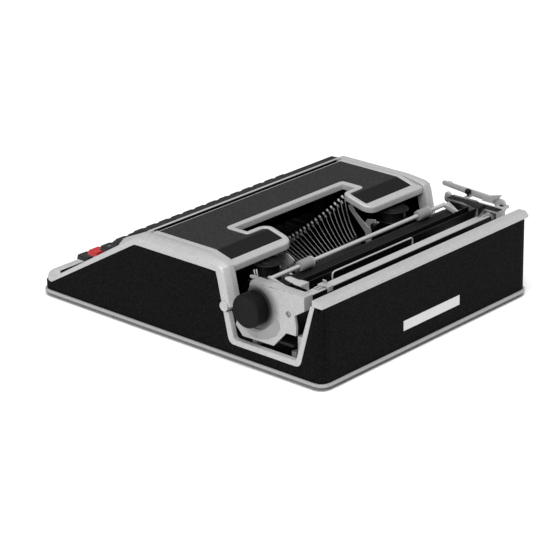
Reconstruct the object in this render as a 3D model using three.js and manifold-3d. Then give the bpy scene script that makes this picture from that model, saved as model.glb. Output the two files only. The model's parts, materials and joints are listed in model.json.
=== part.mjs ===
// A manual portable typewriter, built as separate pieces.
// Millimetres. X points to the typist's right, Y to the rear, Z up.
// The origin is under the centre of the machine, on the surface it stands on.
import * as THREE from 'three';
import { mergeVertices } from 'three/addons/utils/BufferGeometryUtils.js';
import Module from 'manifold-3d';

const wasm = await Module();
wasm.setup();

// ---------------------------------------------------------------- sizes
const FIT = 0.3;                 // gap between pieces that seat on each other

// casing
const CORNER_R = 12;             // plan corners of the shell
const WALL = 2.5;
const FOOT_H = 4;
const FOOT_R = 9;
const FOOT_INSET = 28;
const BASE_H = 4;                // height of the base tray's rim
const BASE_SHEET = 1.2;
const BASE_LIP = 2;              // how far the tray stands out of the shell
const BASE_RIM = 6;
const FRONT_PANEL_H = 9.8;       // front panel, from the tray's rim up
const REAR_PANEL_DROP = 4.5;     // rear panel's top below the deck
const SLOPE = THREE.MathUtils.degToRad(30);
const FRONT_STRIP_D = 14;
const FRAME_H = 8.3;             // upright face of the silver frame
const FRAME_W = 15.6;            // width of the silver frame, seen from above
const FRAME_CROWN = 3.5;         // rise of the frame from its outer to its inner edge
const DECK_STRIP_D = 7;
const DECK_STRIP_H = 12;

// side cut-outs that the carriage passes through, as distances from the rear
const CUT_FRONT_TOP = 143.4;
const CUT_FRONT_FOOT = 127;
const CUT_REAR_FOOT = 29.8;
const CUT_REAR_TOP = 9.8;
const CUT_SILL_H = 11;           // from the tray's rim up
const TRIM_FRONT_W = 7;
const TRIM_SILL_W = 6;
const TRIM_REAR_W = 5;
const TRIM_D = 6;
const TRIM_CORNER_R = 7;
const LEG_W = 9.6;               // front leg of the silver frame, above the stud
const STUD_H = 51;               // height of the stud above the tray's rim
const STUD_R = 5.5;
const STUD_OUT = 1.5;

const REAR_STRIP_D = 13;
const REAR_STRIP_H = 6.5;
const REAR_STRIP_BEVEL = 4;

const LABEL_X = -3.3;
const LABEL_W = 92.6;
const LABEL_H = 10.8;
const LABEL_UP = 23.6;           // label's middle above the tray's rim
const LABEL_T = 0.6;

// front cowl, between the top key row and the deck
const COWL_D = 30;
const COWL_SINK = 1.5;
const COWL_T = 2.5;

// ribbon cover
const COVER_GAP = 0.5;           // to the silver frame at each side
const COVER_FRONT_GAP = 5;
const COVER_SHEET = 4;
const COVER_DROP = THREE.MathUtils.degToRad(15);
const COVER_LENGTH = 114.088;
const COVER_AHEAD = 42.1;        // cover's rear edge to the platen axis
const COVER_FALL = 28.3;         // length of the part that falls towards the rear
const COVER_LIP_H = 8;
const COVER_WALL = 2.5;
const COVER_SKIRT_H = 8.3;
const COVER_BORDER = 7.4;
const COVER_FRONT_BORDER = 1.5;
const COVER_REAR_BORDER = 5;
const PANEL_POCKET = 2;
const PANEL_SINK = 0.4;
const OPENING_LENGTH = 64.6;     // T-shaped opening, to the outside of its rim
const NECK_LENGTH = 32.3;
const OPENING_WIDE = 94.9;
const OPENING_NECK = 67.5;
const OPENING_R = 7;
const RIM_W = 6.5;
const RIM_DEPTH = 7;
const RIM_RISE = 1;
const COVER_PIN_R = 1.5;
const COVER_PIN_L = 3.5;
const COVER_PIN_BACK = 5;        // pin behind the cover's front edge
const COVER_PIN_DOWN = 5;

// carriage
const PLATEN_R = 16;
const PLATEN_BACK = 93.9;        // platen axis to the rear face
const PLATEN_DROP = 28.3;        // platen axis below the deck
const PLATEN_GAP = 12;           // platen's end to the end plate
const SHAFT_R = 4;
const PLATE_IN = 5;              // end plates' outer faces inside the shell's sides
const PLATE_T = 3;
// corners of an end plate as [back, up] from the platen axis
const PLATE_TOP_FRONT = [-5.2, 28.2];
const PLATE_TOP_REAR = [66.2, 27.8];
const PLATE_REAR_FOOT = [66, 12.9];
const PLATE_LOWER_EDGE = [
  [-11.8, 13.2], [-27.8, -26], [-18.2, -36.4], [24.2, -35.5], [41.4, -16.8], [54.7, -16.6],
  [55.3, -7.5], [53.2, 4.9],
];
const FLANGE_W = 12.7;
const FLANGE_T = 2.5;
const DISH_R = 23.5;
const DISH_D = 1.2;
const KNOB_R = 18.25;
const KNOB_OUT = 15;             // knob's face from the end plate
const KNOB_SOCKET = 7.5;         // shaft's length inside the knob
const BED_FRONT = -10;           // carriage bed, from the platen axis
const BED_REAR = 48;
const BED_DROP = 32.2;           // platen axis down to the bed's underside
const BED_T = 3;
const RAIL_W = 6;
const RAIL_H = 8;
const RAIL_FRONT_Y = -14;        // rails' front edges, from the platen axis
const RAIL_REAR_Y = 40;
const RAIL_GAP = 9;              // rail's end to the trim of the side cut-out
const SHOE_X = 40;
const SHOE_L = 16;
const SHOE_CLEAR = 0.3;          // shoe to rail

// paper bail
const BAIL_Y = -3.9;             // bail rod, from the platen axis
const BAIL_ROD_R = 1.8;
const BAIL_SHORT = [12, 2.5];    // bail's right and left ends inside the platen's
const BAIL_ARM_T = 1.5;
const BAIL_ARM_W = 5;
const BAIL_PIVOT_Y = 13.9;
const BAIL_PIVOT_Z = 16.8;
const BAIL_PIN_R = 1.5;
const BAIL_PIN_PAST = 1;         // pin's end past the bail's arm
const BAIL_ROLLER_R = 5.8;
const BAIL_ROLLER_L = 20;
const BAIL_ROLLER_IN = [54.5, 37.5];   // rollers' middles inside the bail's ends

// paper table, rest and wire
const TABLE_T = 1.2;
const TABLE_CLEAR = 1.4;         // table to platen
const TABLE_TOP = 19.8;
const TABLE_WRAP = THREE.MathUtils.degToRad(-95);   // how far it runs under the platen
const REST_FOOT = [21.9, -6.2];  // front lower corner, from the platen axis
const REST_TOP = [28.7, 20.8];
const WIRE_R = 1;
const WIRE_X = [-50, 80];
const WIRE_H = 10;

// margin rail and stops
const MARGIN_Y = [44.9, 55.9];
const MARGIN_Z = 20.8;
const MARGIN_T = 1.5;
const MARGIN_WEB = 6;
const STOP_L = 8;
const STOP_WRAP = 1.5;
const STOP_TAB = 3;
const STOP_IN = [47, 5];         // stops' middles inside the end plates

// return lever and the small levers
const LEVER_T = 3;
const LEVER_OUT = 5.5;           // lever's middle outside the left end plate
const LEVER_PIVOT_Y = 58;
const LEVER_LENGTH = 84;
const LEVER_BOTTOM = 28.8;       // above the platen axis, clear of the end plate
const LEVER_RISE = 4;
const LEVER_H = 6.5;
const LEVER_TAPER = 6;           // length of the blade's slanted tip
const FINGER_W = 8;
const FINGER_D = 10;
const LEVER_PIN_R = 2.5;
const LUG_T = 3;
const SELECTOR_Y = 15;
const SELECTOR_R = 3.5;
const SELECTOR_STALK_R = 1;
const SELECTOR_STALK_L = 1.5;
const SELECTOR_IN = 5.5;         // inside the lever
const BRACKET_T = 1.2;
const BRACKET_HALF = 2;
const RELEASE_W = 13;
const RELEASE_Y = [25, 50];
const RELEASE_Z = 31.5;
const RELEASE_T = 1.2;
const RELEASE_FLANGE = 8.5;
const RELEASE_CUT = 4;           // cut corner at its front

// type basket
const FAN_TILT = THREE.MathUtils.degToRad(41.45);    // fan's axis from level
const BAR_SPLAY = THREE.MathUtils.degToRad(21.7);   // resting bars' lean away from that axis
const PIVOT_UP = 14.3;           // centre of the pivots' circle above the printing point
const PIVOT_CLEAR = 24.1;        // middle typebar's pivot above the tray
const BAR_T = 1.2;
const BAR_W = 4;
const BAR_COUNT = 39;
const BAR_STEP = THREE.MathUtils.degToRad(3.36);
const BAR_WIRE_R = 1.2;
const BAR_WIRE_FIT = 0.4;
const LUG_W = 2;                 // lugs that hold the wire's ends to the segment
const SLUG = [2.2, 4.4, 7];      // width, depth and height of a type slug
const SEGMENT_IN = 3;            // segment's edges inside and outside the pivots' circle
const SEGMENT_OUT = 5;
const SEGMENT_T = 10;
const SEGMENT_LEG_W = 8;
const SEGMENT_LEG_D = 10;
const SEGMENT_LEG_AHEAD = 33.1;  // legs' rear faces to the platen axis
const SEGMENT_ANGLE = THREE.MathUtils.degToRad(66.5);
const GUIDE_W = 22;
const GUIDE_T = 2;
const GUIDE_GAP = 3;             // guide to platen
const GUIDE_SLOT = 5;
const GUIDE_TOP = -6;            // from the platen axis
const BASKET_GAP = 5.5;          // basket plate to the segment's leg
const BASKET_T = 1.5;
// corners of a basket plate as [back, up] from the platen axis, and its foot's ends
const BASKET_EDGE = [[-38.1, 0], [-31.1, 14.5], [-48.6, 17.2], [-64.1, 8], [-52.1, -10]];
const BASKET_FOOT = [-43.1, -34.1];
const SPOOL_IN = 41;             // spool's axis inside the chassis's side plate
const SPOOL_AHEAD = 40.1;        // spool's axis to the platen axis
const SPOOL_R = 21;
const SPOOL_HUB_R = 9;
const SPOOL_BORE_R = 3.5;
const SPOOL_FLANGE_T = 1.2;
const SPOOL_UP = 8.8;            // spool's lower face above the platen axis
const SPOOL_H = 13;
const SPINDLE_R = 3.2;

// chassis
const CHASSIS_OUT = 26.5;        // chassis's side plates outside the widest row's end keys
const CHASSIS_IN = 20;           // and inside the shell's sides
const CHASSIS_T = 6;
const CHASSIS_FRONT_IN = 39;     // inside the shell's front and rear
const CHASSIS_REAR_IN = 18;
const CHASSIS_TOP = 10;          // side plates' top above the tray's rim, under the rails
const CROSS_T = 3.8;
const CROSS_W = 10;
const STOP_RAIL_AHEAD = 75;      // to the lever shaft
const STOP_RAIL_T = 5;

// keys
const KEY_PITCH = 19;
const KEY_CAP = 13.5;
const KEY_CAP_H = 5;
const KEY_TAPER = 0.82;
const KEY_STAND = 7.5;           // key tops above the plane of the silver frame
const FIRST_ROW_BACK = 12;       // space bar's middle behind the front strip
const LAST_ROW_AHEAD = 44.85;    // last row's middle to the slope's top
const LEVER_SHAFT_AHEAD = 80.1;  // to the platen axis
const LEVER_SHAFT_H = 5;         // above the tray's rim
const LEVER_SHAFT_R = 2;
const KEY_LEVER_T = 1.2;
const EYE_SIDES = 6;             // corners of the hole that turns on the shaft
const KEY_LEVER_H = 7;
const KEY_LEVER_RISE = 0.055;    // rise of a lever per millimetre towards the key
const STEM_D = 3;
const TIE_H = 3;
const TIE_D = 3;
const TIE_DROP = 1;
// each row: keys' first place, in pitches from the middle, and how many
const ROWS = [
  { name: 'key_row_1', row: 1, first: -5.75, count: 12 },
  { name: 'key_row_2', row: 2, first: -6.25, count: 14 },
  { name: 'key_row_3', row: 3, first: -6.5, count: 14 },
  { name: 'key_row_4', row: 4, first: -6, count: 13 },
];
const CENTRE_ROW = 2;
const CENTRE_INDEX = 6;
const BRIDGE_ARM_W = 2;          // tie bar's way round behind the centre key
const BRIDGE_GAP = 1.5;
const SPACE_BAR_HALF = 93.5;
const SPACE_BAR_D = 13;
const SPACE_BAR_LEVER_X = 64.1;
// the single keys and their levers, outside the widest row's end keys
const SHIFT_OUT = 2.5;
const SHIFT_D = 18;
const SHIFT_LEVER_OUT = -2.5;
const RED_OUT = 4.5;
const RED_LEVER_OUT = 9;
const RED_EXTRA_W = 1.5;

// ---------------------------------------------------------------- places
const ROW_HALF = Math.max(...ROWS.map(({ first }) => -first)) * KEY_PITCH;
const CHASSIS_X = ROW_HALF + CHASSIS_OUT;                  // chassis's outer faces
const HALF = CHASSIS_X + CHASSIS_IN;                       // the shell's sides
const SLOPE_RUN = FIRST_ROW_BACK + ROWS.length * KEY_PITCH + LAST_ROW_AHEAD;
const CROWN_RUN = FRAME_CROWN / Math.tan(SLOPE);
const DEPTH = FRONT_STRIP_D + SLOPE_RUN + CROWN_RUN + COVER_FRONT_GAP + COVER_LENGTH + COVER_AHEAD
  + PLATEN_BACK;
const FRONT = -DEPTH / 2;
const REAR = DEPTH / 2;
const RIM_Z = FOOT_H + BASE_H;
const TRAY_Z = FOOT_H + BASE_SHEET;
const FRONT_Z = RIM_Z + FRONT_PANEL_H;
const DECK_Z = FRONT_Z + SLOPE_RUN * Math.tan(SLOPE);
const REAR_Z = DECK_Z - REAR_PANEL_DROP;
const SILL_Z = RIM_Z + CUT_SILL_H;
const STUD_Z = RIM_Z + STUD_H;
const SLOPE_Y = FRONT + FRONT_STRIP_D;                     // where the slope starts
const SLOPE_TOP_Y = SLOPE_Y + SLOPE_RUN;
const INNER = HALF - FRAME_W;                              // inner face of the silver frame
const FRAME_Z = DECK_Z + FRAME_H;
const CROWN_Z = FRAME_Z + FRAME_CROWN;
const CROWN_Y = SLOPE_TOP_Y + CROWN_RUN;
const CUT_LEAN = (CUT_FRONT_TOP - CUT_FRONT_FOOT) / (DECK_Z - SILL_Z);
const cutFront = (z) => REAR - CUT_FRONT_FOOT - CUT_LEAN * (z - SILL_Z);
const slopeZ = (y) => FRONT_Z + (y - SLOPE_Y) * Math.tan(SLOPE);
const AXIS_Y = REAR - PLATEN_BACK;
const AXIS_Z = DECK_Z - PLATEN_DROP;
const COVER_HALF = INNER - COVER_GAP;
const COVER_FRONT_Y = CROWN_Y + COVER_FRONT_GAP;
const COVER_REAR_Y = AXIS_Y - COVER_AHEAD;
const COVER_FOLD_Y = COVER_REAR_Y - COVER_FALL;
const coverZ = (y) => CROWN_Z - Math.max(0, y - COVER_FOLD_Y) * Math.tan(COVER_DROP);
const CHASSIS_Z = RIM_Z + CHASSIS_TOP;
const CROSS_Z = TRAY_Z + CROSS_T;
const LEVER_SHAFT_Y = AXIS_Y - LEVER_SHAFT_AHEAD;
const SHAFT_Z = RIM_Z + LEVER_SHAFT_H;
const STOP_RAIL_Y = LEVER_SHAFT_Y - STOP_RAIL_AHEAD;
const FIRST_ROW_Y = SLOPE_Y + FIRST_ROW_BACK;
const leverZ = (y) => SHAFT_Z - KEY_LEVER_H / 2 + (LEVER_SHAFT_Y - y) * KEY_LEVER_RISE;
const rowY = (row) => FIRST_ROW_Y + row * KEY_PITCH;
const capZ = (y) => slopeZ(y) + FRAME_H + KEY_STAND;
const BED_Z = AXIS_Z - BED_DROP;
const SHOE_Z = CHASSIS_Z + RAIL_H + SHOE_CLEAR;
const PLATE_OUT = HALF - PLATE_IN;
const PLATE_INNER = PLATE_OUT - PLATE_T;
const PLATEN_HALF = PLATE_INNER - PLATEN_GAP;
const [BAIL_RIGHT, BAIL_LEFT] = [PLATEN_HALF - BAIL_SHORT[0], BAIL_SHORT[1] - PLATEN_HALF];
const LEVER_X = -(PLATE_OUT + LEVER_OUT);
const SELECTOR_X = LEVER_X + SELECTOR_IN;
const SPOOL_X = CHASSIS_X - CHASSIS_T - SPOOL_IN;

// ---------------------------------------------------------------- helpers
const finish = (color, roughness, metalness = 0) =>
  new THREE.MeshStandardMaterial({ color, roughness, metalness });
const SHELL = finish(0x141415, 0.75);
const SILVER = finish(0xc4c4c2, 0.4, 0.6);
const STEEL = finish(0xb4b4b2, 0.3, 0.9);
const DARK_STEEL = finish(0x2a2a2c, 0.5, 0.6);
const PANEL = finish(0x2b2b2c, 0.8);
const RUBBER = finish(0x19191a, 0.85);
const KEY_BLACK = finish(0x1a1a1b, 0.45);
const KEY_RED = finish(0xb01020, 0.45);
const GREY = finish(0x8d8d8b, 0.6);
const WHITE = finish(0xe6e6e2, 0.5);

const typewriter = new THREE.Group();

// A closed geometry as a solid that can be cut and joined.
function solid(geometry) {
  const plain = geometry.clone();
  plain.deleteAttribute('normal');
  plain.deleteAttribute('uv');
  const merged = mergeVertices(plain, 1e-4);
  return new wasm.Manifold(new wasm.Mesh({
    numProp: 3,
    vertProperties: new Float32Array(merged.attributes.position.array),
    triVerts: new Uint32Array(merged.index.array),
  }));
}

function add(name, body, material) {
  const mesh = body.getMesh();
  const geometry = new THREE.BufferGeometry();
  geometry.setAttribute('position', new THREE.BufferAttribute(mesh.vertProperties, 3));
  geometry.setIndex(new THREE.BufferAttribute(mesh.triVerts, 1));
  geometry.computeVertexNormals();
  const piece = new THREE.Mesh(geometry, material);
  piece.name = name;
  typewriter.add(piece);
  return piece;
}

const join = (...bodies) => bodies.reduce((whole, body) => whole.add(body));

// An outline from corners [a, b] or, for a round corner, [a, b, radius].
function outline(corners) {
  const shape = new THREE.Shape();
  corners.forEach(([a, b, radius = 0], i) => {
    const corner = new THREE.Vector2(a, b);
    const before = new THREE.Vector2(...corners.at(i - 1));
    const after = new THREE.Vector2(...corners[(i + 1) % corners.length]);
    const start = corner.clone().add(before.sub(corner).setLength(radius));
    const end = corner.clone().add(after.sub(corner).setLength(radius));
    if (i === 0) shape.moveTo(start.x, start.y);
    else shape.lineTo(start.x, start.y);
    if (radius > 0) shape.quadraticCurveTo(corner.x, corner.y, end.x, end.y);
  });
  return shape;
}

const asShape = (profile) => (Array.isArray(profile) ? outline(profile) : profile);

function extruded(profile, length, curveSegments) {
  return new THREE.ExtrudeGeometry(asShape(profile), {
    depth: length, bevelEnabled: false, steps: 1, curveSegments,
  });
}

// Outlines in (x, y), (y, z) and (x, z), extruded along Z, X and Y.
function alongZ(profile, z0, z1, curveSegments = 4) {
  return solid(extruded(profile, z1 - z0, curveSegments).translate(0, 0, z0));
}

function alongX(profile, x0, x1, curveSegments = 4) {
  const turn = new THREE.Matrix4().makeBasis(
    new THREE.Vector3(0, 1, 0), new THREE.Vector3(0, 0, 1), new THREE.Vector3(1, 0, 0),
  );
  return solid(extruded(profile, x1 - x0, curveSegments).applyMatrix4(turn).translate(x0, 0, 0));
}

function box([x0, x1], [y0, y1], [z0, z1]) {
  const geometry = new THREE.BoxGeometry(x1 - x0, y1 - y0, z1 - z0);
  return solid(geometry.translate((x0 + x1) / 2, (y0 + y1) / 2, (z0 + z1) / 2));
}

function rodX(radius, x0, x1, y, z, sides = 16) {
  const geometry = new THREE.CylinderGeometry(radius, radius, x1 - x0, sides);
  return solid(geometry.rotateZ(Math.PI / 2).translate((x0 + x1) / 2, y, z));
}

function rodZ(radius, x, y, z0, z1, sides = 16) {
  const geometry = new THREE.CylinderGeometry(radius, radius, z1 - z0, sides);
  return solid(geometry.rotateX(Math.PI / 2).translate(x, y, (z0 + z1) / 2));
}

const rectangle = (half, y0, y1, radius = 0) => [
  [-half, y0, radius], [half, y0, radius], [half, y1, radius], [-half, y1, radius],
];

// [low, high] between two distances from the middle, on the right or the left side.
const span = (side, a, b) => (side > 0 ? [a, b] : [-b, -a]);

const SIDES = [['right', 1], ['left', -1]];

// A closed body between two outlines in (y, z) with as many corners, the first at the greater x.
function ruled(high, highX, low, lowX) {
  const caps = THREE.ShapeUtils.triangulateShape(high.map((p) => new THREE.Vector2(...p)), []);
  const count = high.length;
  const positions = [
    ...high.flatMap(([y, z]) => [highX, y, z]),
    ...low.flatMap(([y, z]) => [lowX, y, z]),
  ];
  const index = caps.flatMap(([a, b, c]) => [a, b, c, count + a, count + c, count + b]);
  for (let i = 0; i < count; i += 1) {
    const next = (i + 1) % count;
    index.push(i, count + i, next, next, count + i, count + next);
  }
  const geometry = new THREE.BufferGeometry();
  geometry.setAttribute('position', new THREE.Float32BufferAttribute(positions, 3));
  geometry.setIndex(index);
  return solid(geometry);
}

// ---------------------------------------------------------------- casing
function basePlate() {
  const half = HALF + BASE_LIP;
  const plan = rectangle(half, FRONT - BASE_LIP, REAR + BASE_LIP, CORNER_R + BASE_LIP);
  const inside = rectangle(HALF - BASE_RIM, FRONT + BASE_RIM, REAR - BASE_RIM, CORNER_R);
  const tray = alongZ(plan, FOOT_H, RIM_Z).subtract(alongZ(inside, TRAY_Z, RIM_Z + FIT));
  add('base_plate', tray, SILVER);
}

function feet() {
  for (const [sideName, side] of SIDES) {
    for (const [endName, y] of [['front', FRONT + FOOT_INSET], ['rear', REAR - FOOT_INSET]]) {
      const foot = rodZ(FOOT_R, side * (HALF - FOOT_INSET), y, 0, FOOT_H);
      add(`foot_${endName}_${sideName}`, foot, RUBBER);
    }
  }
}

const panelOutline = () => [
  [FRONT - WALL, RIM_Z - WALL], [REAR + WALL, RIM_Z - WALL], [REAR + WALL, REAR_Z],
  [REAR - CUT_REAR_TOP, REAR_Z], [REAR - CUT_REAR_FOOT, SILL_Z, TRIM_CORNER_R],
  [REAR - CUT_FRONT_FOOT, SILL_Z, TRIM_CORNER_R], [REAR - CUT_FRONT_TOP, DECK_Z],
  [SLOPE_TOP_Y, DECK_Z], [SLOPE_Y, FRONT_Z], [FRONT - WALL, FRONT_Z],
];

function bodyShell() {
  const outside = rectangle(HALF, FRONT, REAR, CORNER_R);
  const inside = rectangle(HALF - WALL, FRONT + WALL, REAR - WALL, CORNER_R - WALL);
  const ring = alongZ(outside, RIM_Z, DECK_Z + WALL)
    .subtract(alongZ(inside, RIM_Z - WALL, DECK_Z + 2 * WALL));
  const reach = HALF + WALL;
  const walls = ring.intersect(alongX(panelOutline(), -reach, reach));
  add('body_shell', walls.subtract(rodX(STUD_R + FIT, -reach, reach, studY(), STUD_Z)), SHELL);
}

function frontStrip() {
  const plan = [
    [-HALF, FRONT, CORNER_R], [HALF, FRONT, CORNER_R], [HALF, SLOPE_Y], [-HALF, SLOPE_Y],
  ];
  add('front_strip', alongZ(plan, FRONT_Z, FRONT_Z + FRAME_H), SILVER);
}

// The silver frame beside the keys and the cover, with the leg that ends at the stud.
function sideFrames() {
  const legTopZ = coverZ(COVER_REAR_Y) + FIT;
  const path = (crown) => [
    [SLOPE_Y, FRONT_Z], [SLOPE_TOP_Y, DECK_Z], [cutFront(DECK_Z), DECK_Z], [cutFront(STUD_Z), STUD_Z],
    [cutFront(STUD_Z) + LEG_W, STUD_Z], [cutFront(legTopZ) + LEG_W, legTopZ - FRAME_CROWN + crown],
    [COVER_FOLD_Y, FRAME_Z + crown],
    [SLOPE_TOP_Y + crown / Math.tan(SLOPE), FRAME_Z + crown], [SLOPE_Y, FRONT_Z + FRAME_H],
  ];
  const pinY = COVER_FRONT_Y + COVER_PIN_BACK;
  const pinHole = rodX(COVER_PIN_R + FIT, -HALF + WALL, HALF - WALL, pinY, CROWN_Z - COVER_PIN_DOWN);
  for (const [sideName, side] of SIDES) {
    const outer = path(0);
    const inner = path(FRAME_CROWN);
    const bar = side > 0 ? ruled(outer, HALF, inner, INNER) : ruled(inner, -INNER, outer, -HALF);
    const stud = rodX(STUD_R + FIT, side * HALF - FRAME_W, side * HALF + FRAME_W, studY(), STUD_Z);
    add(`side_frame_${sideName}`, bar.subtract(pinHole).subtract(stud), SILVER);
  }
}

const studY = () => cutFront(STUD_Z) + TRIM_FRONT_W / 2;

function frameStuds() {
  for (const [sideName, side] of SIDES) {
    const [x0, x1] = span(side, HALF - FRAME_W, HALF + STUD_OUT);
    add(`frame_stud_${sideName}`, rodX(STUD_R, x0, x1, studY(), STUD_Z), SILVER);
  }
}

function deckStrip() {
  const front = CROWN_Y - DECK_STRIP_D;
  const profile = [
    [front, FRAME_Z - DECK_STRIP_H], [CROWN_Y, FRAME_Z - DECK_STRIP_H], [CROWN_Y, CROWN_Z],
    [front, CROWN_Z - DECK_STRIP_D * Math.tan(SLOPE)],
  ];
  add('deck_strip', alongX(profile, -INNER + FIT, INNER - FIT), SILVER);
}

function frontCowl() {
  const rear = CROWN_Y - DECK_STRIP_D - FIT;
  const top = (y) => slopeZ(y) + FRAME_H - COWL_SINK;
  const profile = [
    [rear - COWL_D, top(rear - COWL_D) - COWL_T], [rear, top(rear) - COWL_T],
    [rear, top(rear)], [rear - COWL_D, top(rear - COWL_D)],
  ];
  add('front_cowl', alongX(profile, -INNER + FIT, INNER - FIT), PANEL);
}

// The silver trim that lines each side cut-out, below the stud.
function cutTrims() {
  const rearTop = REAR - CUT_REAR_TOP - FIT;
  const rearFoot = REAR - CUT_REAR_FOOT - FIT;
  const sill = SILL_Z + FIT;
  const front = (z) => cutFront(z) + FIT;
  const top = STUD_Z - STUD_R - FIT;
  const profile = [
    [front(top), top], [front(sill), sill, TRIM_CORNER_R], [rearFoot, sill, TRIM_CORNER_R],
    [rearTop, REAR_Z - FIT], [rearTop - TRIM_REAR_W, REAR_Z - FIT],
    [rearFoot - TRIM_REAR_W, sill + TRIM_SILL_W, TRIM_CORNER_R / 2],
    [front(sill) + TRIM_FRONT_W, sill + TRIM_SILL_W, TRIM_CORNER_R / 2],
    [front(top) + TRIM_FRONT_W, top],
  ];
  for (const [sideName, side] of SIDES) {
    add(`cut_trim_${sideName}`, alongX(profile, ...span(side, HALF - TRIM_D, HALF)), SILVER);
  }
}

function rearStrip() {
  const front = REAR - REAR_STRIP_D;
  const top = REAR_Z + REAR_STRIP_H;
  const profile = [
    [front, REAR_Z], [REAR, REAR_Z], [REAR, REAR_Z + REAR_STRIP_H - REAR_STRIP_BEVEL],
    [REAR - REAR_STRIP_BEVEL, top], [front, top],
  ];
  add('rear_strip', alongX(profile, -HALF, HALF), SILVER);
}

function labelPlate() {
  const plate = box(
    [LABEL_X - LABEL_W / 2, LABEL_X + LABEL_W / 2], [REAR, REAR + LABEL_T],
    [RIM_Z + LABEL_UP - LABEL_H / 2, RIM_Z + LABEL_UP + LABEL_H / 2],
  );
  add('label_plate', plate, WHITE);
}

// ---------------------------------------------------------------- ribbon cover
// The space between two heights over the cover's top surface.
function coverBand(below, above) {
  const ends = [COVER_FRONT_Y - COVER_FRONT_GAP, COVER_REAR_Y + COVER_FRONT_GAP];
  const line = (rise) => [ends[0], COVER_FOLD_Y, ends[1]].map((y) => [y, coverZ(y) + rise]);
  return alongX([...line(below), ...line(above).reverse()], -INNER, INNER);
}

// The T-shaped opening's outline, drawn in by the given amount, open past the rear.
function openingOutline(inset) {
  const wide = OPENING_WIDE - inset;
  const neck = OPENING_NECK - inset;
  const front = COVER_REAR_Y - OPENING_LENGTH + inset;
  const step = COVER_REAR_Y - NECK_LENGTH - inset;
  const rear = COVER_REAR_Y + COVER_WALL;
  const corner = Math.max(OPENING_R - inset / 2, 1);
  return [
    [-wide, front, corner], [wide, front, corner], [wide, step, corner], [neck, step, corner],
    [neck, rear], [-neck, rear], [-neck, step, corner], [-wide, step, corner],
  ];
}

function panelPlan(inset) {
  const half = COVER_HALF - COVER_BORDER - inset;
  const front = COVER_FRONT_Y + COVER_FRONT_BORDER + inset;
  const rear = COVER_REAR_Y - COVER_REAR_BORDER - inset;
  const plan = alongZ(rectangle(half, front, rear, CORNER_R / 4), 0, CROWN_Z * 2);
  return plan.subtract(alongZ(openingOutline(-inset), -1, CROWN_Z * 3));
}

function ribbonCover() {
  const lipZ = coverZ(COVER_REAR_Y) - COVER_LIP_H;
  const plan = alongZ(rectangle(COVER_HALF, COVER_FRONT_Y, COVER_REAR_Y), 0, CROWN_Z * 2);
  const skirtBand = coverBand(-COVER_SKIRT_H, 0);
  const inside = box(
    [-COVER_HALF + COVER_WALL, COVER_HALF - COVER_WALL], [COVER_FRONT_Y - WALL, COVER_REAR_Y + WALL],
    [0, CROWN_Z * 2],
  );
  const sheet = coverBand(-COVER_SHEET, 0);
  const skirts = skirtBand.subtract(inside);
  const lip = box(
    [-COVER_HALF, COVER_HALF], [COVER_REAR_Y - COVER_WALL, COVER_REAR_Y], [lipZ, coverZ(COVER_REAR_Y)],
  );
  const opening = alongZ(openingOutline(RIM_W), 0, CROWN_Z * 2);
  const rimBand = coverBand(-RIM_DEPTH, RIM_RISE);
  const rim = alongZ(openingOutline(0), 0, CROWN_Z * 2).intersect(rimBand);
  const pocket = panelPlan(0).intersect(coverBand(-PANEL_POCKET, COVER_SHEET));
  const pinY = COVER_FRONT_Y + COVER_PIN_BACK;
  const pinZ = CROWN_Z - COVER_PIN_DOWN;
  const pins = SIDES.map(([, side]) => rodX(
    COVER_PIN_R, ...span(side, COVER_HALF - COVER_WALL, COVER_HALF + COVER_PIN_L), pinY, pinZ, 12,
  ));
  const shell = join(sheet, skirts).intersect(plan).subtract(pocket);
  const frame = join(shell, lip, rim.intersect(plan)).subtract(opening);
  add('ribbon_cover_frame', join(frame, ...pins), SILVER);
  const panelBand = coverBand(FIT - PANEL_POCKET, -PANEL_SINK);
  add('ribbon_cover_panel', panelPlan(FIT).intersect(panelBand), PANEL);
}

// ---------------------------------------------------------------- chassis and rails
function chassis() {
  const inner = CHASSIS_X - CHASSIS_T;
  const front = FRONT + CHASSIS_FRONT_IN;
  const rear = REAR - CHASSIS_REAR_IN;
  const across = (y0, y1, z0, z1) => box([-CHASSIS_X, CHASSIS_X], [y0, y1], [z0, z1]);
  const plates = SIDES.map(([, side]) =>
    box(span(side, inner, CHASSIS_X), [front, rear], [TRAY_Z, CHASSIS_Z]));
  const stopZ = leverZ(STOP_RAIL_Y) + KEY_LEVER_H + 2 * FIT;
  const stopY = [STOP_RAIL_Y - CROSS_W / 2, STOP_RAIL_Y + CROSS_W / 2];
  const stopPosts = SIDES.map(([, side]) =>
    box(span(side, inner, CHASSIS_X), stopY, [TRAY_Z, stopZ + STOP_RAIL_T]));
  const spindles = SIDES.map(([, side]) => rodZ(
    SPINDLE_R, side * SPOOL_X, AXIS_Y - SPOOL_AHEAD, TRAY_Z, AXIS_Z + SPOOL_UP + SPOOL_H + FIT, 12,
  ));
  const shaftHole = rodX(LEVER_SHAFT_R + FIT, -HALF, HALF, LEVER_SHAFT_Y, SHAFT_Z, 12);
  const legRear = AXIS_Y - SEGMENT_LEG_AHEAD;
  const body = join(
    ...plates, across(front, front + CROSS_W, TRAY_Z, CROSS_Z),
    across(rear - CROSS_W, rear, TRAY_Z, CROSS_Z),
    across(legRear - SEGMENT_LEG_D - FIT, legRear + CROSS_T, TRAY_Z, CROSS_Z),
    across(...stopY, stopZ, stopZ + STOP_RAIL_T), ...stopPosts, ...spindles,
  );
  add('chassis', body.subtract(shaftHole), DARK_STEEL);
}

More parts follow.
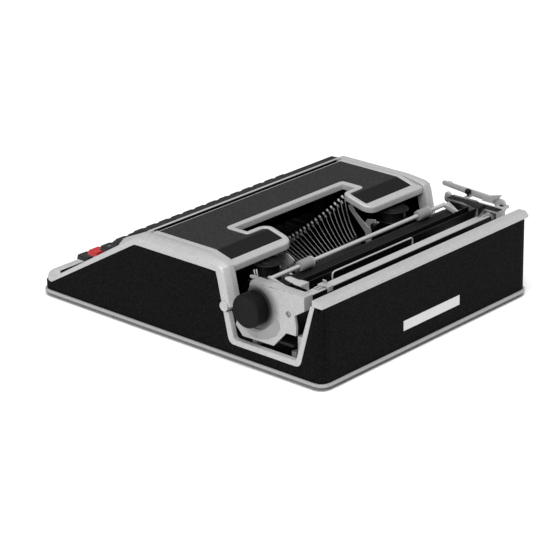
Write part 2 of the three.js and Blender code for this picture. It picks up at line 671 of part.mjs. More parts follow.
function carriageRails() {
  const reach = HALF - TRIM_D - RAIL_GAP;
  for (const [name, y] of [['front', RAIL_FRONT_Y], ['rear', RAIL_REAR_Y]]) {
    const rail = box([-reach, reach], [AXIS_Y + y, AXIS_Y + y + RAIL_W], [CHASSIS_Z, CHASSIS_Z + RAIL_H]);
    add(`carriage_rail_${name}`, rail, STEEL);
  }
}

// ---------------------------------------------------------------- type basket
// The typebars stand in a fan: their pivots lie on a circle whose axis runs through the printing
// point, tilted forwards and up. At rest the bars spread away from that axis.
const PRINT = new THREE.Vector3(0, AXIS_Y - PLATEN_R, AXIS_Z);
const fanAxis = new THREE.Vector3(0, -Math.cos(FAN_TILT), Math.sin(FAN_TILT));
const fanDown = new THREE.Vector3(0, -Math.sin(FAN_TILT), -Math.cos(FAN_TILT));
const fanCentre = PRINT.clone().addScaledVector(fanAxis, PIVOT_UP);
const PIVOT_R = (fanCentre.z - TRAY_Z - PIVOT_CLEAR) / Math.cos(FAN_TILT);
const middlePivot = fanCentre.clone().addScaledVector(fanDown, PIVOT_R);
const BAR_LENGTH = Math.hypot(PIVOT_R, PIVOT_UP);          // pivot to printing point
const BAR_END_R = BAR_W * Math.SQRT1_2;                    // swept by a typebar's pivot end
const SEGMENT_TOP = -BAR_END_R - FIT;                      // from the pivots, along the axis
const SEGMENT_LEG_X = PIVOT_R * Math.sin(SEGMENT_ANGLE) - SEGMENT_LEG_W / 2;
const BASKET_X = SEGMENT_LEG_X + SEGMENT_LEG_W + BASKET_GAP;

// Puts a body drawn with x across, y along the fan's radius and z along its axis in its place.
function inFan(geometry, angle = 0) {
  const radial = new THREE.Vector3(Math.sin(angle), 0, 0).addScaledVector(fanDown, Math.cos(angle));
  const across = new THREE.Vector3().crossVectors(radial, fanAxis);
  const place = new THREE.Matrix4().makeBasis(across, radial, fanAxis).setPosition(fanCentre);
  return solid(geometry.applyMatrix4(place));
}

// A box at one pivot: its radial and axial spans are measured from the pivot, before the lean.
const fanBox = (width, radial, axial, angle, splay = 0) => inFan(
  new THREE.BoxGeometry(width, radial[1] - radial[0], axial[1] - axial[0])
    .translate(0, (radial[0] + radial[1]) / 2, (axial[0] + axial[1]) / 2)
    .rotateX(-splay)
    .translate(0, PIVOT_R, 0),
  angle,
);

function typebar(angle) {
  const [slugW, slugD, slugH] = SLUG;
  const end = BAR_LENGTH - slugD;
  const bar = fanBox(BAR_T, [-BAR_W / 2, BAR_W / 2], [-BAR_W / 2, end], angle, BAR_SPLAY);
  const slug = fanBox(slugW, [-slugH / 2, slugH / 2], [end - slugD, end], angle, BAR_SPLAY);
  return bar.add(slug);
}

function typeBasket() {
  const middle = (BAR_COUNT - 1) / 2;
  const half = (middle + 0.5) * BAR_STEP;
  const wireShape = new THREE.Shape().absarc(0, 0, BAR_WIRE_R, 0, 2 * Math.PI);
  class Arc extends THREE.Curve {
    getPoint(t, target = new THREE.Vector3()) {
      const angle = (2 * t - 1) * half;
      return target.set(-Math.sin(angle) * PIVOT_R, Math.cos(angle) * PIVOT_R, 0);
    }
  }
  const wire = inFan(new THREE.ExtrudeGeometry(wireShape, {
    steps: middle + 1, curveSegments: 3, bevelEnabled: false, extrudePath: new Arc(),
  }));
  const bars = [];
  for (let i = 0; i < BAR_COUNT; i += 1) {
    if (i !== middle) bars.push(typebar((i - middle) * BAR_STEP));
  }
  const lugs = [-half, half].map((angle) => fanBox(
    LUG_W, [-BAR_WIRE_R, BAR_WIRE_R], [-BAR_END_R, BAR_WIRE_R], angle,
  ));
  add('typebars', join(wire, ...lugs, ...bars), STEEL);

  const hole = rodX(
    BAR_WIRE_R + BAR_WIRE_FIT, -PIVOT_R, PIVOT_R, middlePivot.y, middlePivot.z, 10,
  );
  add('centre_typebar', typebar(0).subtract(hole), STEEL);

  const sector = new THREE.Shape()
    .absarc(0, 0, PIVOT_R + SEGMENT_OUT, Math.PI / 2 - SEGMENT_ANGLE, Math.PI / 2 + SEGMENT_ANGLE, false)
    .absarc(0, 0, PIVOT_R - SEGMENT_IN, Math.PI / 2 + SEGMENT_ANGLE, Math.PI / 2 - SEGMENT_ANGLE, true);
  const ring = inFan(new THREE.ExtrudeGeometry(sector, {
    depth: SEGMENT_T, bevelEnabled: false, curveSegments: 14,
  }).translate(0, 0, SEGMENT_TOP - SEGMENT_T));
  const legTop = fanCentre.z + fanDown.z * PIVOT_R * Math.cos(SEGMENT_ANGLE)
    + fanAxis.z * (SEGMENT_TOP - SEGMENT_T / 2);
  const legRear = AXIS_Y - SEGMENT_LEG_AHEAD;
  const legY = [legRear - SEGMENT_LEG_D, legRear];
  const legs = SIDES.map(([, side]) =>
    box(span(side, SEGMENT_LEG_X, SEGMENT_LEG_X + SEGMENT_LEG_W), legY, [CROSS_Z, legTop]));
  add('type_segment', join(ring, ...legs), DARK_STEEL);
}

function typeGuide() {
  const y1 = AXIS_Y - PLATEN_R - GUIDE_GAP;
  const y0 = y1 - GUIDE_T;
  const top = AXIS_Z + GUIDE_TOP;
  const half = GUIDE_W / 2;
  const plate = box([-half, half], [y0, y1], [CROSS_Z, top]);
  const slot = box([-GUIDE_SLOT / 2, GUIDE_SLOT / 2], [y0 - 1, y1 + 1], [top - GUIDE_W, top + 1]);
  const footFront = AXIS_Y - SEGMENT_LEG_AHEAD - CROSS_W;
  const foot = box([-half, half], [footFront, y1], [CROSS_Z, CROSS_Z + CROSS_T]);
  add('type_guide', join(plate.subtract(slot), foot), STEEL);
}

function basketPlates() {
  const feet = BASKET_FOOT.map((y) => [AXIS_Y + y, CROSS_Z]);
  const profile = [...feet, ...fromAxis(BASKET_EDGE)];
  for (const [sideName, side] of SIDES) {
    const plate = alongX(profile, ...span(side, BASKET_X, BASKET_X + BASKET_T));
    add(`basket_plate_${sideName}`, plate, GREY);
  }
}

function ribbonSpools() {
  const z0 = AXIS_Z + SPOOL_UP;
  const z1 = z0 + SPOOL_H;
  const y = AXIS_Y - SPOOL_AHEAD;
  for (const [sideName, side] of SIDES) {
    const disc = (radius, low, high, sides) => rodZ(radius, side * SPOOL_X, y, low, high, sides);
    const spool = join(
      disc(SPOOL_R, z0, z0 + SPOOL_FLANGE_T, 28), disc(SPOOL_HUB_R, z0, z1, 16),
      disc(SPOOL_R, z1 - SPOOL_FLANGE_T, z1, 28),
    );
    add(`ribbon_spool_${sideName}`, spool.subtract(disc(SPOOL_BORE_R, z0 - 1, z1 + 1, 12)), DARK_STEEL);
  }
}

// ---------------------------------------------------------------- keys
// A key's stem and lever, with the eye that turns on the lever shaft.
function keyLever(x, y) {
  const top = capZ(y) - KEY_CAP_H;
  const eye = (LEVER_SHAFT_R + FIT) / Math.cos(Math.PI / EYE_SIDES);
  const behind = LEVER_SHAFT_Y + KEY_LEVER_H / 2 + 1;
  const profile = [
    [y - STEM_D / 2, leverZ(y)], [behind, SHAFT_Z - KEY_LEVER_H / 2], [behind, SHAFT_Z + KEY_LEVER_H / 2],
    [y + STEM_D / 2, leverZ(y) + KEY_LEVER_H], [y + STEM_D / 2, top], [y - STEM_D / 2, top],
  ];
  const shape = outline(profile);
  shape.holes.push(new THREE.Path().absarc(LEVER_SHAFT_Y, SHAFT_Z, eye, 0, 2 * Math.PI));
  return alongX(shape, x - KEY_LEVER_T / 2, x + KEY_LEVER_T / 2, EYE_SIDES / 2);
}

function keyCap(x, y, width = KEY_CAP, depth = KEY_CAP) {
  const geometry = new THREE.CylinderGeometry(
    KEY_TAPER * Math.SQRT1_2, Math.SQRT1_2, KEY_CAP_H, 4,
  );
  geometry.rotateX(Math.PI / 2).rotateZ(Math.PI / 4).scale(width, depth, 1);
  return solid(geometry.translate(x, y, capZ(y) - KEY_CAP_H / 2));
}

// A row's caps sit on a tie bar that the levers under its end keys carry.
function keyRows() {
  for (const { name, row, first, count } of ROWS) {
    const y = rowY(row);
    const places = Array.from({ length: count }, (_, i) => (first + i) * KEY_PITCH);
    const centreX = row === CENTRE_ROW ? places[CENTRE_INDEX] : null;
    const caps = places.filter((x) => x !== centreX).map((x) => keyCap(x, y));
    const levers = [places[0], places.at(-1)].map((x) => keyLever(x, y));
    add(name, join(tieBar(y, places, centreX), ...caps, ...levers), KEY_BLACK);
    if (centreX !== null) {
      add('centre_key', join(keyCap(centreX, y), keyLever(centreX, y)), KEY_BLACK);
    }
  }
}

// The bar under a row's caps, led round behind the key at centreX.
function tieBar(y, places, centreX) {
  const top = capZ(y) - KEY_CAP_H;
  const low = top - TIE_DROP - TIE_H;
  const post = (x) => box([x - TIE_D / 2, x + TIE_D / 2], [y, y + TIE_D], [low, top + TIE_DROP]);
  const bar = (x0, x1, y0) => box([x0, x1], [y0, y0 + TIE_D], [low, low + TIE_H]);
  const posts = places.filter((x) => x !== centreX).map(post);
  if (centreX === null) return join(bar(places[0], places.at(-1), y), ...posts);
  const arms = [centreX - KEY_PITCH / 2, centreX + KEY_PITCH / 2];
  const bridgeY = y + KEY_CAP / 2 + BRIDGE_GAP;
  const armBoxes = arms.map((x) => box(
    [x - BRIDGE_ARM_W / 2, x + BRIDGE_ARM_W / 2], [y, bridgeY + TIE_D], [low, low + TIE_H],
  ));
  return join(
    bar(places[0], arms[0], y), bar(arms[1], places.at(-1), y), bar(...arms, bridgeY),
    ...armBoxes, ...posts,
  );
}

function singleKeys() {
  const y = FIRST_ROW_Y;
  const bar = solid(new THREE.BoxGeometry(2 * SPACE_BAR_HALF, SPACE_BAR_D, KEY_CAP_H)
    .translate(0, y, capZ(y) - KEY_CAP_H / 2));
  const levers = SIDES.map(([, side]) => keyLever(side * SPACE_BAR_LEVER_X, y));
  add('space_bar', join(bar, ...levers), KEY_BLACK);
  for (const [sideName, side] of SIDES) {
    const cap = keyCap(side * (ROW_HALF + SHIFT_OUT), y, KEY_CAP, SHIFT_D);
    add(`shift_key_${sideName}`, join(cap, keyLever(side * (ROW_HALF + SHIFT_LEVER_OUT), y)), KEY_BLACK);
  }
  const redY = rowY(1);
  const redCap = keyCap(ROW_HALF + RED_OUT, redY, KEY_CAP + RED_EXTRA_W);
  add('red_key', join(redCap, keyLever(ROW_HALF + RED_LEVER_OUT, redY)), KEY_RED);
}

function keyShaft() {
  const reach = CHASSIS_X;
  add('key_shaft', rodX(LEVER_SHAFT_R, -reach, reach, LEVER_SHAFT_Y, SHAFT_Z, 12), STEEL);
}

// ---------------------------------------------------------------- carriage
const fromAxis = (points) => points.map(([y, z, ...radius]) => [AXIS_Y + y, AXIS_Z + z, ...radius]);

function carriageBed() {
  const reach = PLATE_INNER - FIT;
  const bedZ = [BED_Z, BED_Z + BED_T];
  const bedRear = AXIS_Y + BED_REAR;
  const bed = box([-reach, reach], [AXIS_Y + BED_FRONT, bedRear], bedZ);
  const shoes = [];
  for (const x of [-SHOE_X, SHOE_X]) {
    for (const y of [AXIS_Y + RAIL_FRONT_Y, AXIS_Y + RAIL_REAR_Y]) {
      const shoe = box([x - SHOE_L / 2, x + SHOE_L / 2], [y, y + RAIL_W], [SHOE_Z, BED_Z + BED_T]);
      shoes.push(shoe);
    }
  }
  const apron = box([-SHOE_X, SHOE_X], [AXIS_Y + RAIL_FRONT_Y, bedRear], bedZ);
  add('carriage_bed', join(bed, apron, ...shoes), DARK_STEEL);
}

function endPlates() {
  const [topY, topZ] = PLATE_TOP_FRONT;
  const [rearY, rearZ] = PLATE_TOP_REAR;
  const plateOutline = fromAxis([
    PLATE_TOP_FRONT, ...PLATE_LOWER_EDGE, PLATE_REAR_FOOT, PLATE_TOP_REAR,
  ]);
  const topOutline = fromAxis([
    [topY, topZ - FLANGE_T], [rearY, rearZ - FLANGE_T], PLATE_TOP_REAR, PLATE_TOP_FRONT,
  ]);
  for (const [sideName, side] of SIDES) {
    const at = (a, b) => span(side, a, b);
    const plate = alongX(plateOutline, ...at(PLATE_INNER, PLATE_OUT));
    const top = alongX(topOutline, ...at(PLATE_OUT - FLANGE_W, PLATE_OUT));
    const back = box(
      at(PLATE_OUT - FLANGE_W, PLATE_OUT), [AXIS_Y + rearY - FLANGE_T, AXIS_Y + rearY],
      [AXIS_Z + PLATE_REAR_FOOT[1], AXIS_Z + rearZ],
    );
    const pinEnd = side > 0 ? BAIL_RIGHT : -BAIL_LEFT;
    const pin = rodX(
      BAIL_PIN_R, ...at(pinEnd - BAIL_ARM_T - BAIL_PIN_PAST, PLATE_INNER),
      AXIS_Y + BAIL_PIVOT_Y, AXIS_Z + BAIL_PIVOT_Z, 10,
    );
    const past = PLATE_OUT + PLATE_T;
    const dish = rodX(DISH_R, ...at(PLATE_OUT - DISH_D, past), AXIS_Y, AXIS_Z, 32);
    const bore = rodX(SHAFT_R + FIT, ...at(PLATE_INNER - PLATE_T, past), AXIS_Y, AXIS_Z, 20);
    let body = join(plate, top, back).subtract(dish).subtract(bore).add(pin);
    if (side < 0) body = body.add(leverLug());
    add(`end_plate_${sideName}`, body, SILVER);
  }
}

// The ear on the left end plate that the return lever turns in.
function leverLug() {
  const y = AXIS_Y + LEVER_PIVOT_Y;
  const z = AXIS_Z + LEVER_BOTTOM - FIT;
  const wide = LEVER_PIN_R + LUG_T;
  const ear = box([LEVER_X - wide, -PLATE_OUT + FIT / 3], [y - wide, y + wide], [z - LUG_T, z]);
  const hole = rodZ(LEVER_PIN_R + FIT, LEVER_X, y, z - 2 * LUG_T, z + LUG_T, 12);
  return ear.subtract(hole);
}

function platen() {
  const roller = rodX(PLATEN_R, -PLATEN_HALF, PLATEN_HALF, AXIS_Y, AXIS_Z, 32);
  const bore = rodX(SHAFT_R + FIT, -HALF, HALF, AXIS_Y, AXIS_Z, 16);
  add('platen', roller.subtract(bore), RUBBER);
  const face = PLATE_OUT + KNOB_OUT;
  const shaftEnd = PLATE_OUT + KNOB_SOCKET;
  add('platen_shaft', rodX(SHAFT_R, -shaftEnd, shaftEnd, AXIS_Y, AXIS_Z, 16), STEEL);
  for (const [sideName, side] of SIDES) {
    const start = PLATE_OUT - DISH_D + FIT;
    const knob = rodX(KNOB_R, ...span(side, start, face), AXIS_Y, AXIS_Z, 32);
    const socket = rodX(SHAFT_R + FIT, ...span(side, start - 1, shaftEnd + FIT), AXIS_Y, AXIS_Z, 16);
    add(`platen_knob_${sideName}`, knob.subtract(socket), RUBBER);
  }
}

function paperBail() {
  const rodY = AXIS_Y + BAIL_Y;
  const rodZ0 = AXIS_Z + Math.sqrt((PLATEN_R + BAIL_ROLLER_R + FIT) ** 2 - BAIL_Y ** 2);
  const pivotY = AXIS_Y + BAIL_PIVOT_Y;
  const pivotZ = AXIS_Z + BAIL_PIVOT_Z;
  const half = BAIL_ARM_W / 2;
  const arm = [
    [rodY - half, rodZ0 - half, 1], [pivotY, pivotZ - half, 1], [pivotY + half, pivotZ, 1],
    [pivotY, pivotZ + half, 1], [rodY - half + 1, rodZ0 + half, 1],
  ];
  const hole = rodX(BAIL_PIN_R + FIT, -HALF, HALF, pivotY, pivotZ, 12);
  const arms = join(
    alongX(arm, BAIL_RIGHT - BAIL_ARM_T, BAIL_RIGHT, 2),
    alongX(arm, BAIL_LEFT, BAIL_LEFT + BAIL_ARM_T, 2),
  ).subtract(hole);
  add('paper_bail', join(rodX(BAIL_ROD_R, BAIL_LEFT, BAIL_RIGHT, rodY, rodZ0, 12), arms), STEEL);
  for (const [i, [sideName, side]] of SIDES.entries()) {
    const x = side > 0 ? BAIL_RIGHT - BAIL_ROLLER_IN[i] : BAIL_LEFT + BAIL_ROLLER_IN[i];
    const ends = [x - BAIL_ROLLER_L / 2, x + BAIL_ROLLER_L / 2];
    const roller = rodX(BAIL_ROLLER_R, ...ends, rodY, rodZ0, 20);
    const bore = rodX(BAIL_ROD_R + FIT, ends[0] - 1, ends[1] + 1, rodY, rodZ0, 12);
    add(`bail_roller_${sideName}`, roller.subtract(bore), GREY);
  }
}

function paperTable() {
  const reach = PLATE_INNER - FIT;
  const inner = PLATEN_R + TABLE_CLEAR;
  const outer = inner + TABLE_T;
  const sheet = new THREE.Shape()
    .absarc(AXIS_Y, AXIS_Z, inner, TABLE_WRAP, 0, false)
    .lineTo(AXIS_Y + inner, AXIS_Z + TABLE_TOP)
    .lineTo(AXIS_Y + outer, AXIS_Z + TABLE_TOP)
    .absarc(AXIS_Y, AXIS_Z, outer, 0, TABLE_WRAP, true);
  add('paper_table', alongX(sheet, -reach, reach, 10), DARK_STEEL);
  const [footY, footZ] = REST_FOOT;
  const [topY, topZ] = REST_TOP;
  const rest = fromAxis([
    [footY, footZ], [footY + TABLE_T, footZ], [topY + TABLE_T, topZ], [topY, topZ],
  ]);
  add('paper_rest', alongX(rest, -reach, reach), DARK_STEEL);
}

// A bent wire that folds up from behind the paper rest to hold a tall sheet.
function paperWire() {
  const [footY, footZ] = REST_FOOT;
  const [topY, topZ] = REST_TOP;
  const lean = (topY - footY) / (topZ - footZ);
  const back = (z) => AXIS_Y + footY + TABLE_T + (z - footZ) * lean + WIRE_R + 1.5 * FIT;
  const z1 = topZ - WIRE_R;
  const z0 = z1 - WIRE_H;
  const corner = (x, z) => new THREE.Vector3(x, back(z), AXIS_Z + z);
  const path = new THREE.CurvePath();
  const [left, right] = WIRE_X;
  const points = [corner(right, z0), corner(right, z1), corner(left, z1), corner(left, z0)];
  for (let i = 0; i < 3; i += 1) path.add(new THREE.LineCurve3(points[i], points[i + 1]));
  const pieces = path.curves.map((curve) => {
    const section = new THREE.Shape().absarc(0, 0, WIRE_R, 0, 2 * Math.PI);
    return solid(new THREE.ExtrudeGeometry(section, {
      steps: 1, curveSegments: 3, bevelEnabled: false, extrudePath: curve,
    }));
  });
  const elbows = points.slice(1, 3).map((p) => solid(new THREE.SphereGeometry(WIRE_R * 1.15, 8, 6)
    .translate(p.x, p.y, p.z)));
  add('paper_wire', join(...pieces, ...elbows), STEEL);
}

function marginRail() {
  const reach = PLATE_INNER - FIT;
  const [y0, y1] = MARGIN_Y.map((y) => AXIS_Y + y);
  const z = AXIS_Z + MARGIN_Z;
  const top = box([-reach, reach], [y0, y1], [z - MARGIN_T, z]);
  const web = box([-reach, reach], [y1 - MARGIN_T, y1], [z - MARGIN_WEB, z]);
  add('margin_rail', join(top, web), STEEL);
  for (const [i, [sideName, side]] of SIDES.entries()) {
    const x = side > 0 ? PLATE_INNER - STOP_IN[i] : STOP_IN[i] - PLATE_INNER;
    const ends = [x - STOP_L / 2, x + STOP_L / 2];
    const past = [x - STOP_L, x + STOP_L];
    const wrap = FIT + STOP_WRAP;
    const body = box(ends, [y0 - wrap, y1 + wrap], [z - MARGIN_T - wrap, z + wrap]);
    const slot = join(
      box(past, [y0 - FIT, y1 + FIT], [z - MARGIN_T - FIT, z + FIT]),
      box(past, [y1 - MARGIN_T - FIT, y1 + FIT], [z - 2 * MARGIN_WEB, z + FIT]),
    );
    const tab = box(ends, [y1 + FIT, y1 + wrap], [z - MARGIN_WEB, z + FIT + STOP_TAB]);
    add(`margin_stop_${sideName}`, join(body, tab).subtract(slot), STEEL);
  }
}

// The blade at the typist's left, with the finger tab in front and the selector's bracket.
function returnLever() {
  const y = AXIS_Y + LEVER_PIVOT_Y;
  const z = AXIS_Z + LEVER_BOTTOM;
  const tip = y - LEVER_LENGTH;
  const ahead = z + LEVER_RISE;
  const heel = y + LEVER_PIN_R * 2;
  const blade = alongX([
    [heel, z, 1], [heel, z + LEVER_H - 1, 2], [tip + LEVER_TAPER, ahead + LEVER_H, 2],
    [tip, ahead + 2, 2], [tip + 2, ahead - 1, 1],
  ], LEVER_X - LEVER_T / 2, LEVER_X + LEVER_T / 2, 3);
  const boss = rodZ(LEVER_PIN_R + 2, LEVER_X, y, z, z + LEVER_H - 2, 16);
  const pin = rodZ(LEVER_PIN_R, LEVER_X, y, z - LUG_T - 2 * FIT, z + 1, 12);
  const fingerZ = ahead + 2;
  const finger = box(
    [LEVER_X - FINGER_W, LEVER_X], [tip + 2, tip + 2 + FINGER_D], [fingerZ, fingerZ + LEVER_T],
  );
  const stalkY = AXIS_Y + SELECTOR_Y;
  const bracketZ = z + LEVER_RISE / 4;
  const bracket = box(
    [LEVER_X, SELECTOR_X + BRACKET_HALF], [stalkY - BRACKET_HALF, stalkY + BRACKET_HALF],
    [bracketZ, bracketZ + BRACKET_T],
  );
  add('return_lever', join(blade, boss, pin, finger, bracket), SILVER);
  const seatZ = bracketZ + BRACKET_T + FIT;
  const ballZ = seatZ + SELECTOR_STALK_L + SELECTOR_R;
  const stalk = rodZ(SELECTOR_STALK_R, SELECTOR_X, stalkY, seatZ, ballZ, 8);
  const ball = solid(new THREE.SphereGeometry(SELECTOR_R, 14, 10)
    .translate(SELECTOR_X, stalkY, ballZ));
  add('line_space_selector', join(stalk, ball), RUBBER);
}

// Bent sheet levers beside the end plates' flanges.
function releaseLevers() {
  const [y0, y1] = RELEASE_Y.map((y) => AXIS_Y + y);
  const z = AXIS_Z + RELEASE_Z;
  for (const [sideName, side] of SIDES) {
    const outer = PLATE_OUT - FLANGE_W - FIT;
    const [x0, x1] = span(side, outer - RELEASE_W, outer);
    const top = alongZ(
      [[x0, y0 + RELEASE_CUT, 2], [x0 + RELEASE_CUT, y0, 3], [x1, y0, 4], [x1, y1], [x0, y1]],
      z, z + RELEASE_T, 3,
    );
    const back = box([x0, x1], [y1 - RELEASE_T, y1], [z - RELEASE_FLANGE, z]);
    add(`release_lever_${sideName}`, join(top, back), STEEL);
  }
}

function build() {
  basePlate();
  feet();
  bodyShell();
  frontStrip();
  sideFrames();
  frameStuds();
  deckStrip();
  frontCowl();
  cutTrims();
  rearStrip();
  labelPlate();
  ribbonCover();
  chassis();
  carriageRails();
  typeBasket();
  typeGuide();
  basketPlates();
  ribbonSpools();
  keyRows();
  singleKeys();
  keyShaft();
  carriageBed();
  endPlates();
  platen();
  paperBail();
  paperTable();
  paperWire();
  marginRail();
  returnLever();
  releaseLevers();
}

build();

export default typewriter;
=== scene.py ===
"""Looks of a manual portable typewriter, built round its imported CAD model.

The camera, the light and the materials are in metres. New pieces are drawn in millimetres, with X to
the typist's right, Y to the rear and Z up from the table, and turned to metres when they are done.
"""
import json
import math

import bmesh
import bpy
from mathutils import Matrix, Vector


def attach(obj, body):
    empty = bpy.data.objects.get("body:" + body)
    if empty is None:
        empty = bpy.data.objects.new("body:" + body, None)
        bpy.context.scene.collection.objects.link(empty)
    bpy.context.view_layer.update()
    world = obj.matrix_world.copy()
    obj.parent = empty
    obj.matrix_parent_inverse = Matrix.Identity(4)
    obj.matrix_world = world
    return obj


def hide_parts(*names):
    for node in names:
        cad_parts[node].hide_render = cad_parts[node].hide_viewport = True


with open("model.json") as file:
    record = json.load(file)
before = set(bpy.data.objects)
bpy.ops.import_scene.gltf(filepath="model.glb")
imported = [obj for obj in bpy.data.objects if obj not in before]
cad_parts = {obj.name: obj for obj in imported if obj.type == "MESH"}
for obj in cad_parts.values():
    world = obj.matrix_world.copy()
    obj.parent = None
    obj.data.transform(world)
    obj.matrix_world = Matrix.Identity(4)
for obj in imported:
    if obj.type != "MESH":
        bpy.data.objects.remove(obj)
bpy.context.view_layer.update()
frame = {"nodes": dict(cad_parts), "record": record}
NODES = frame["nodes"]
MM = 0.001


def add_object(name, data):
    """Shows the data as an object in the scene."""
    item = bpy.data.objects.new(name, data)
    bpy.context.collection.objects.link(item)
    return item


# ------------ places, in millimetres
SIDES = (("right", 1), ("left", -1))
HALF, FRONT = 170, -204
SLOPE_Y, SLOPE_TOP_Y = -190, -57.15
SLOPE = math.tan(math.radians(30))
FRONT_Z, DECK_Z, FRAME_H = 17.8, 94.5, 8.3
INNER = 154.4  # inner face of the silver frame
HOOD_Y = -80.8  # front of the raised part above the keys
WELL_AHEAD = 3.5  # keyboard's well ahead of the slope's foot
CROWN = 3.5  # rise of the frame towards its inner edge
COVER_FOLD_Y, COVER_REAR_Y, COVER_FRONT_Y = 39.7, 68, -46.1
COVER_TOP_Z = 106.3
COVER_DROP = math.tan(math.radians(15))
AXIS_Y, AXIS_Z = 110.1, 66.2  # platen
LEVER_SHAFT = (30, 13)
KEY_PITCH = 19


def cover_z(y):
    """The height of the ribbon cover's top, which falls behind its fold."""
    return COVER_TOP_Z - max(0, y - COVER_FOLD_Y) * COVER_DROP


def slope_z(y):
    """The height of the side frame's lower edge along its slope."""
    return FRONT_Z + (y - SLOPE_Y) * SLOPE


def cut_front(z):
    """The front edge of a side cut-out."""
    sill_y, sill_z, lean = 77, 19, 0.2172
    return sill_y - lean * (z - sill_z)


def span(side, inner, outer):
    """Two places along X on one side of the machine, the lower one first."""
    return sorted((side * inner, side * outer))


# ------------ camera, floor and light
AMBIENT = 0.42
SUNS = (  # name, where it stands, strength, spread in degrees
    ("overhead", (0.3, 0.3, 1), 2.7, 45),
    ("side", (1, 0.25, 0.45), 0.9, 30),
)


def add_camera():
    """The camera behind the machine's right, low and far away."""
    place = (1.774, 1.6096, 0.982)
    heading, pitch, roll = (math.radians(angle) for angle in (222.32, -21.95, -0.92))
    data = bpy.data.cameras.new("camera")
    data.lens = 151.4
    data.sensor_width = 36
    data.clip_end = 50
    camera = add_object("camera", data)
    forward = Vector((
        math.cos(pitch) * math.cos(heading), math.cos(pitch) * math.sin(heading), math.sin(pitch),
    ))
    turn = forward.to_track_quat("-Z", "Y").to_matrix().to_4x4() @ Matrix.Rotation(roll, 4, "Z")
    camera.matrix_world = Matrix.Translation(place) @ turn
    bpy.context.scene.camera = camera


def add_floor():
    """A wide white floor."""
    reach, tone = 12, 0.95
    mesh = bpy.data.meshes.new("floor")
    corners = [(-reach, -reach, 0), (reach, -reach, 0), (reach, reach, 0), (-reach, reach, 0)]
    mesh.from_pydata(corners, [], [(0, 1, 2, 3)])
    floor = add_object("floor", mesh)
    white = bpy.data.materials.new("floor_white")
    white.use_nodes = True
    shader = white.node_tree.nodes["Principled BSDF"]
    shader.inputs["Base Color"].default_value = (tone, tone, tone, 1)
    shader.inputs["Roughness"].default_value = 0.9
    shader.inputs["Specular IOR Level"].default_value = 0.1
    mesh.materials.append(white)


def add_light():
    """A white surrounding and two broad, soft lights, as from large diffusers."""
    world = bpy.data.worlds.new("studio")
    world.use_nodes = True
    background = world.node_tree.nodes["Background"]
    background.inputs["Color"].default_value = (1, 1, 1, 1)
    background.inputs["Strength"].default_value = AMBIENT
    bpy.context.scene.world = world
    for name, place, strength, spread in SUNS:
        data = bpy.data.lights.new(name, "SUN")
        data.energy = strength
        data.angle = math.radians(spread)
        light = add_object(name, data)
        light.rotation_euler = (-Vector(place)).to_track_quat("-Z", "Y").to_euler()
        light.location = place
    bpy.context.scene.view_settings.view_transform = "Standard"


# ------------ materials
MIX_A, MIX_B, MIX_RESULT = 6, 7, 2  # the Mix node's colour sockets


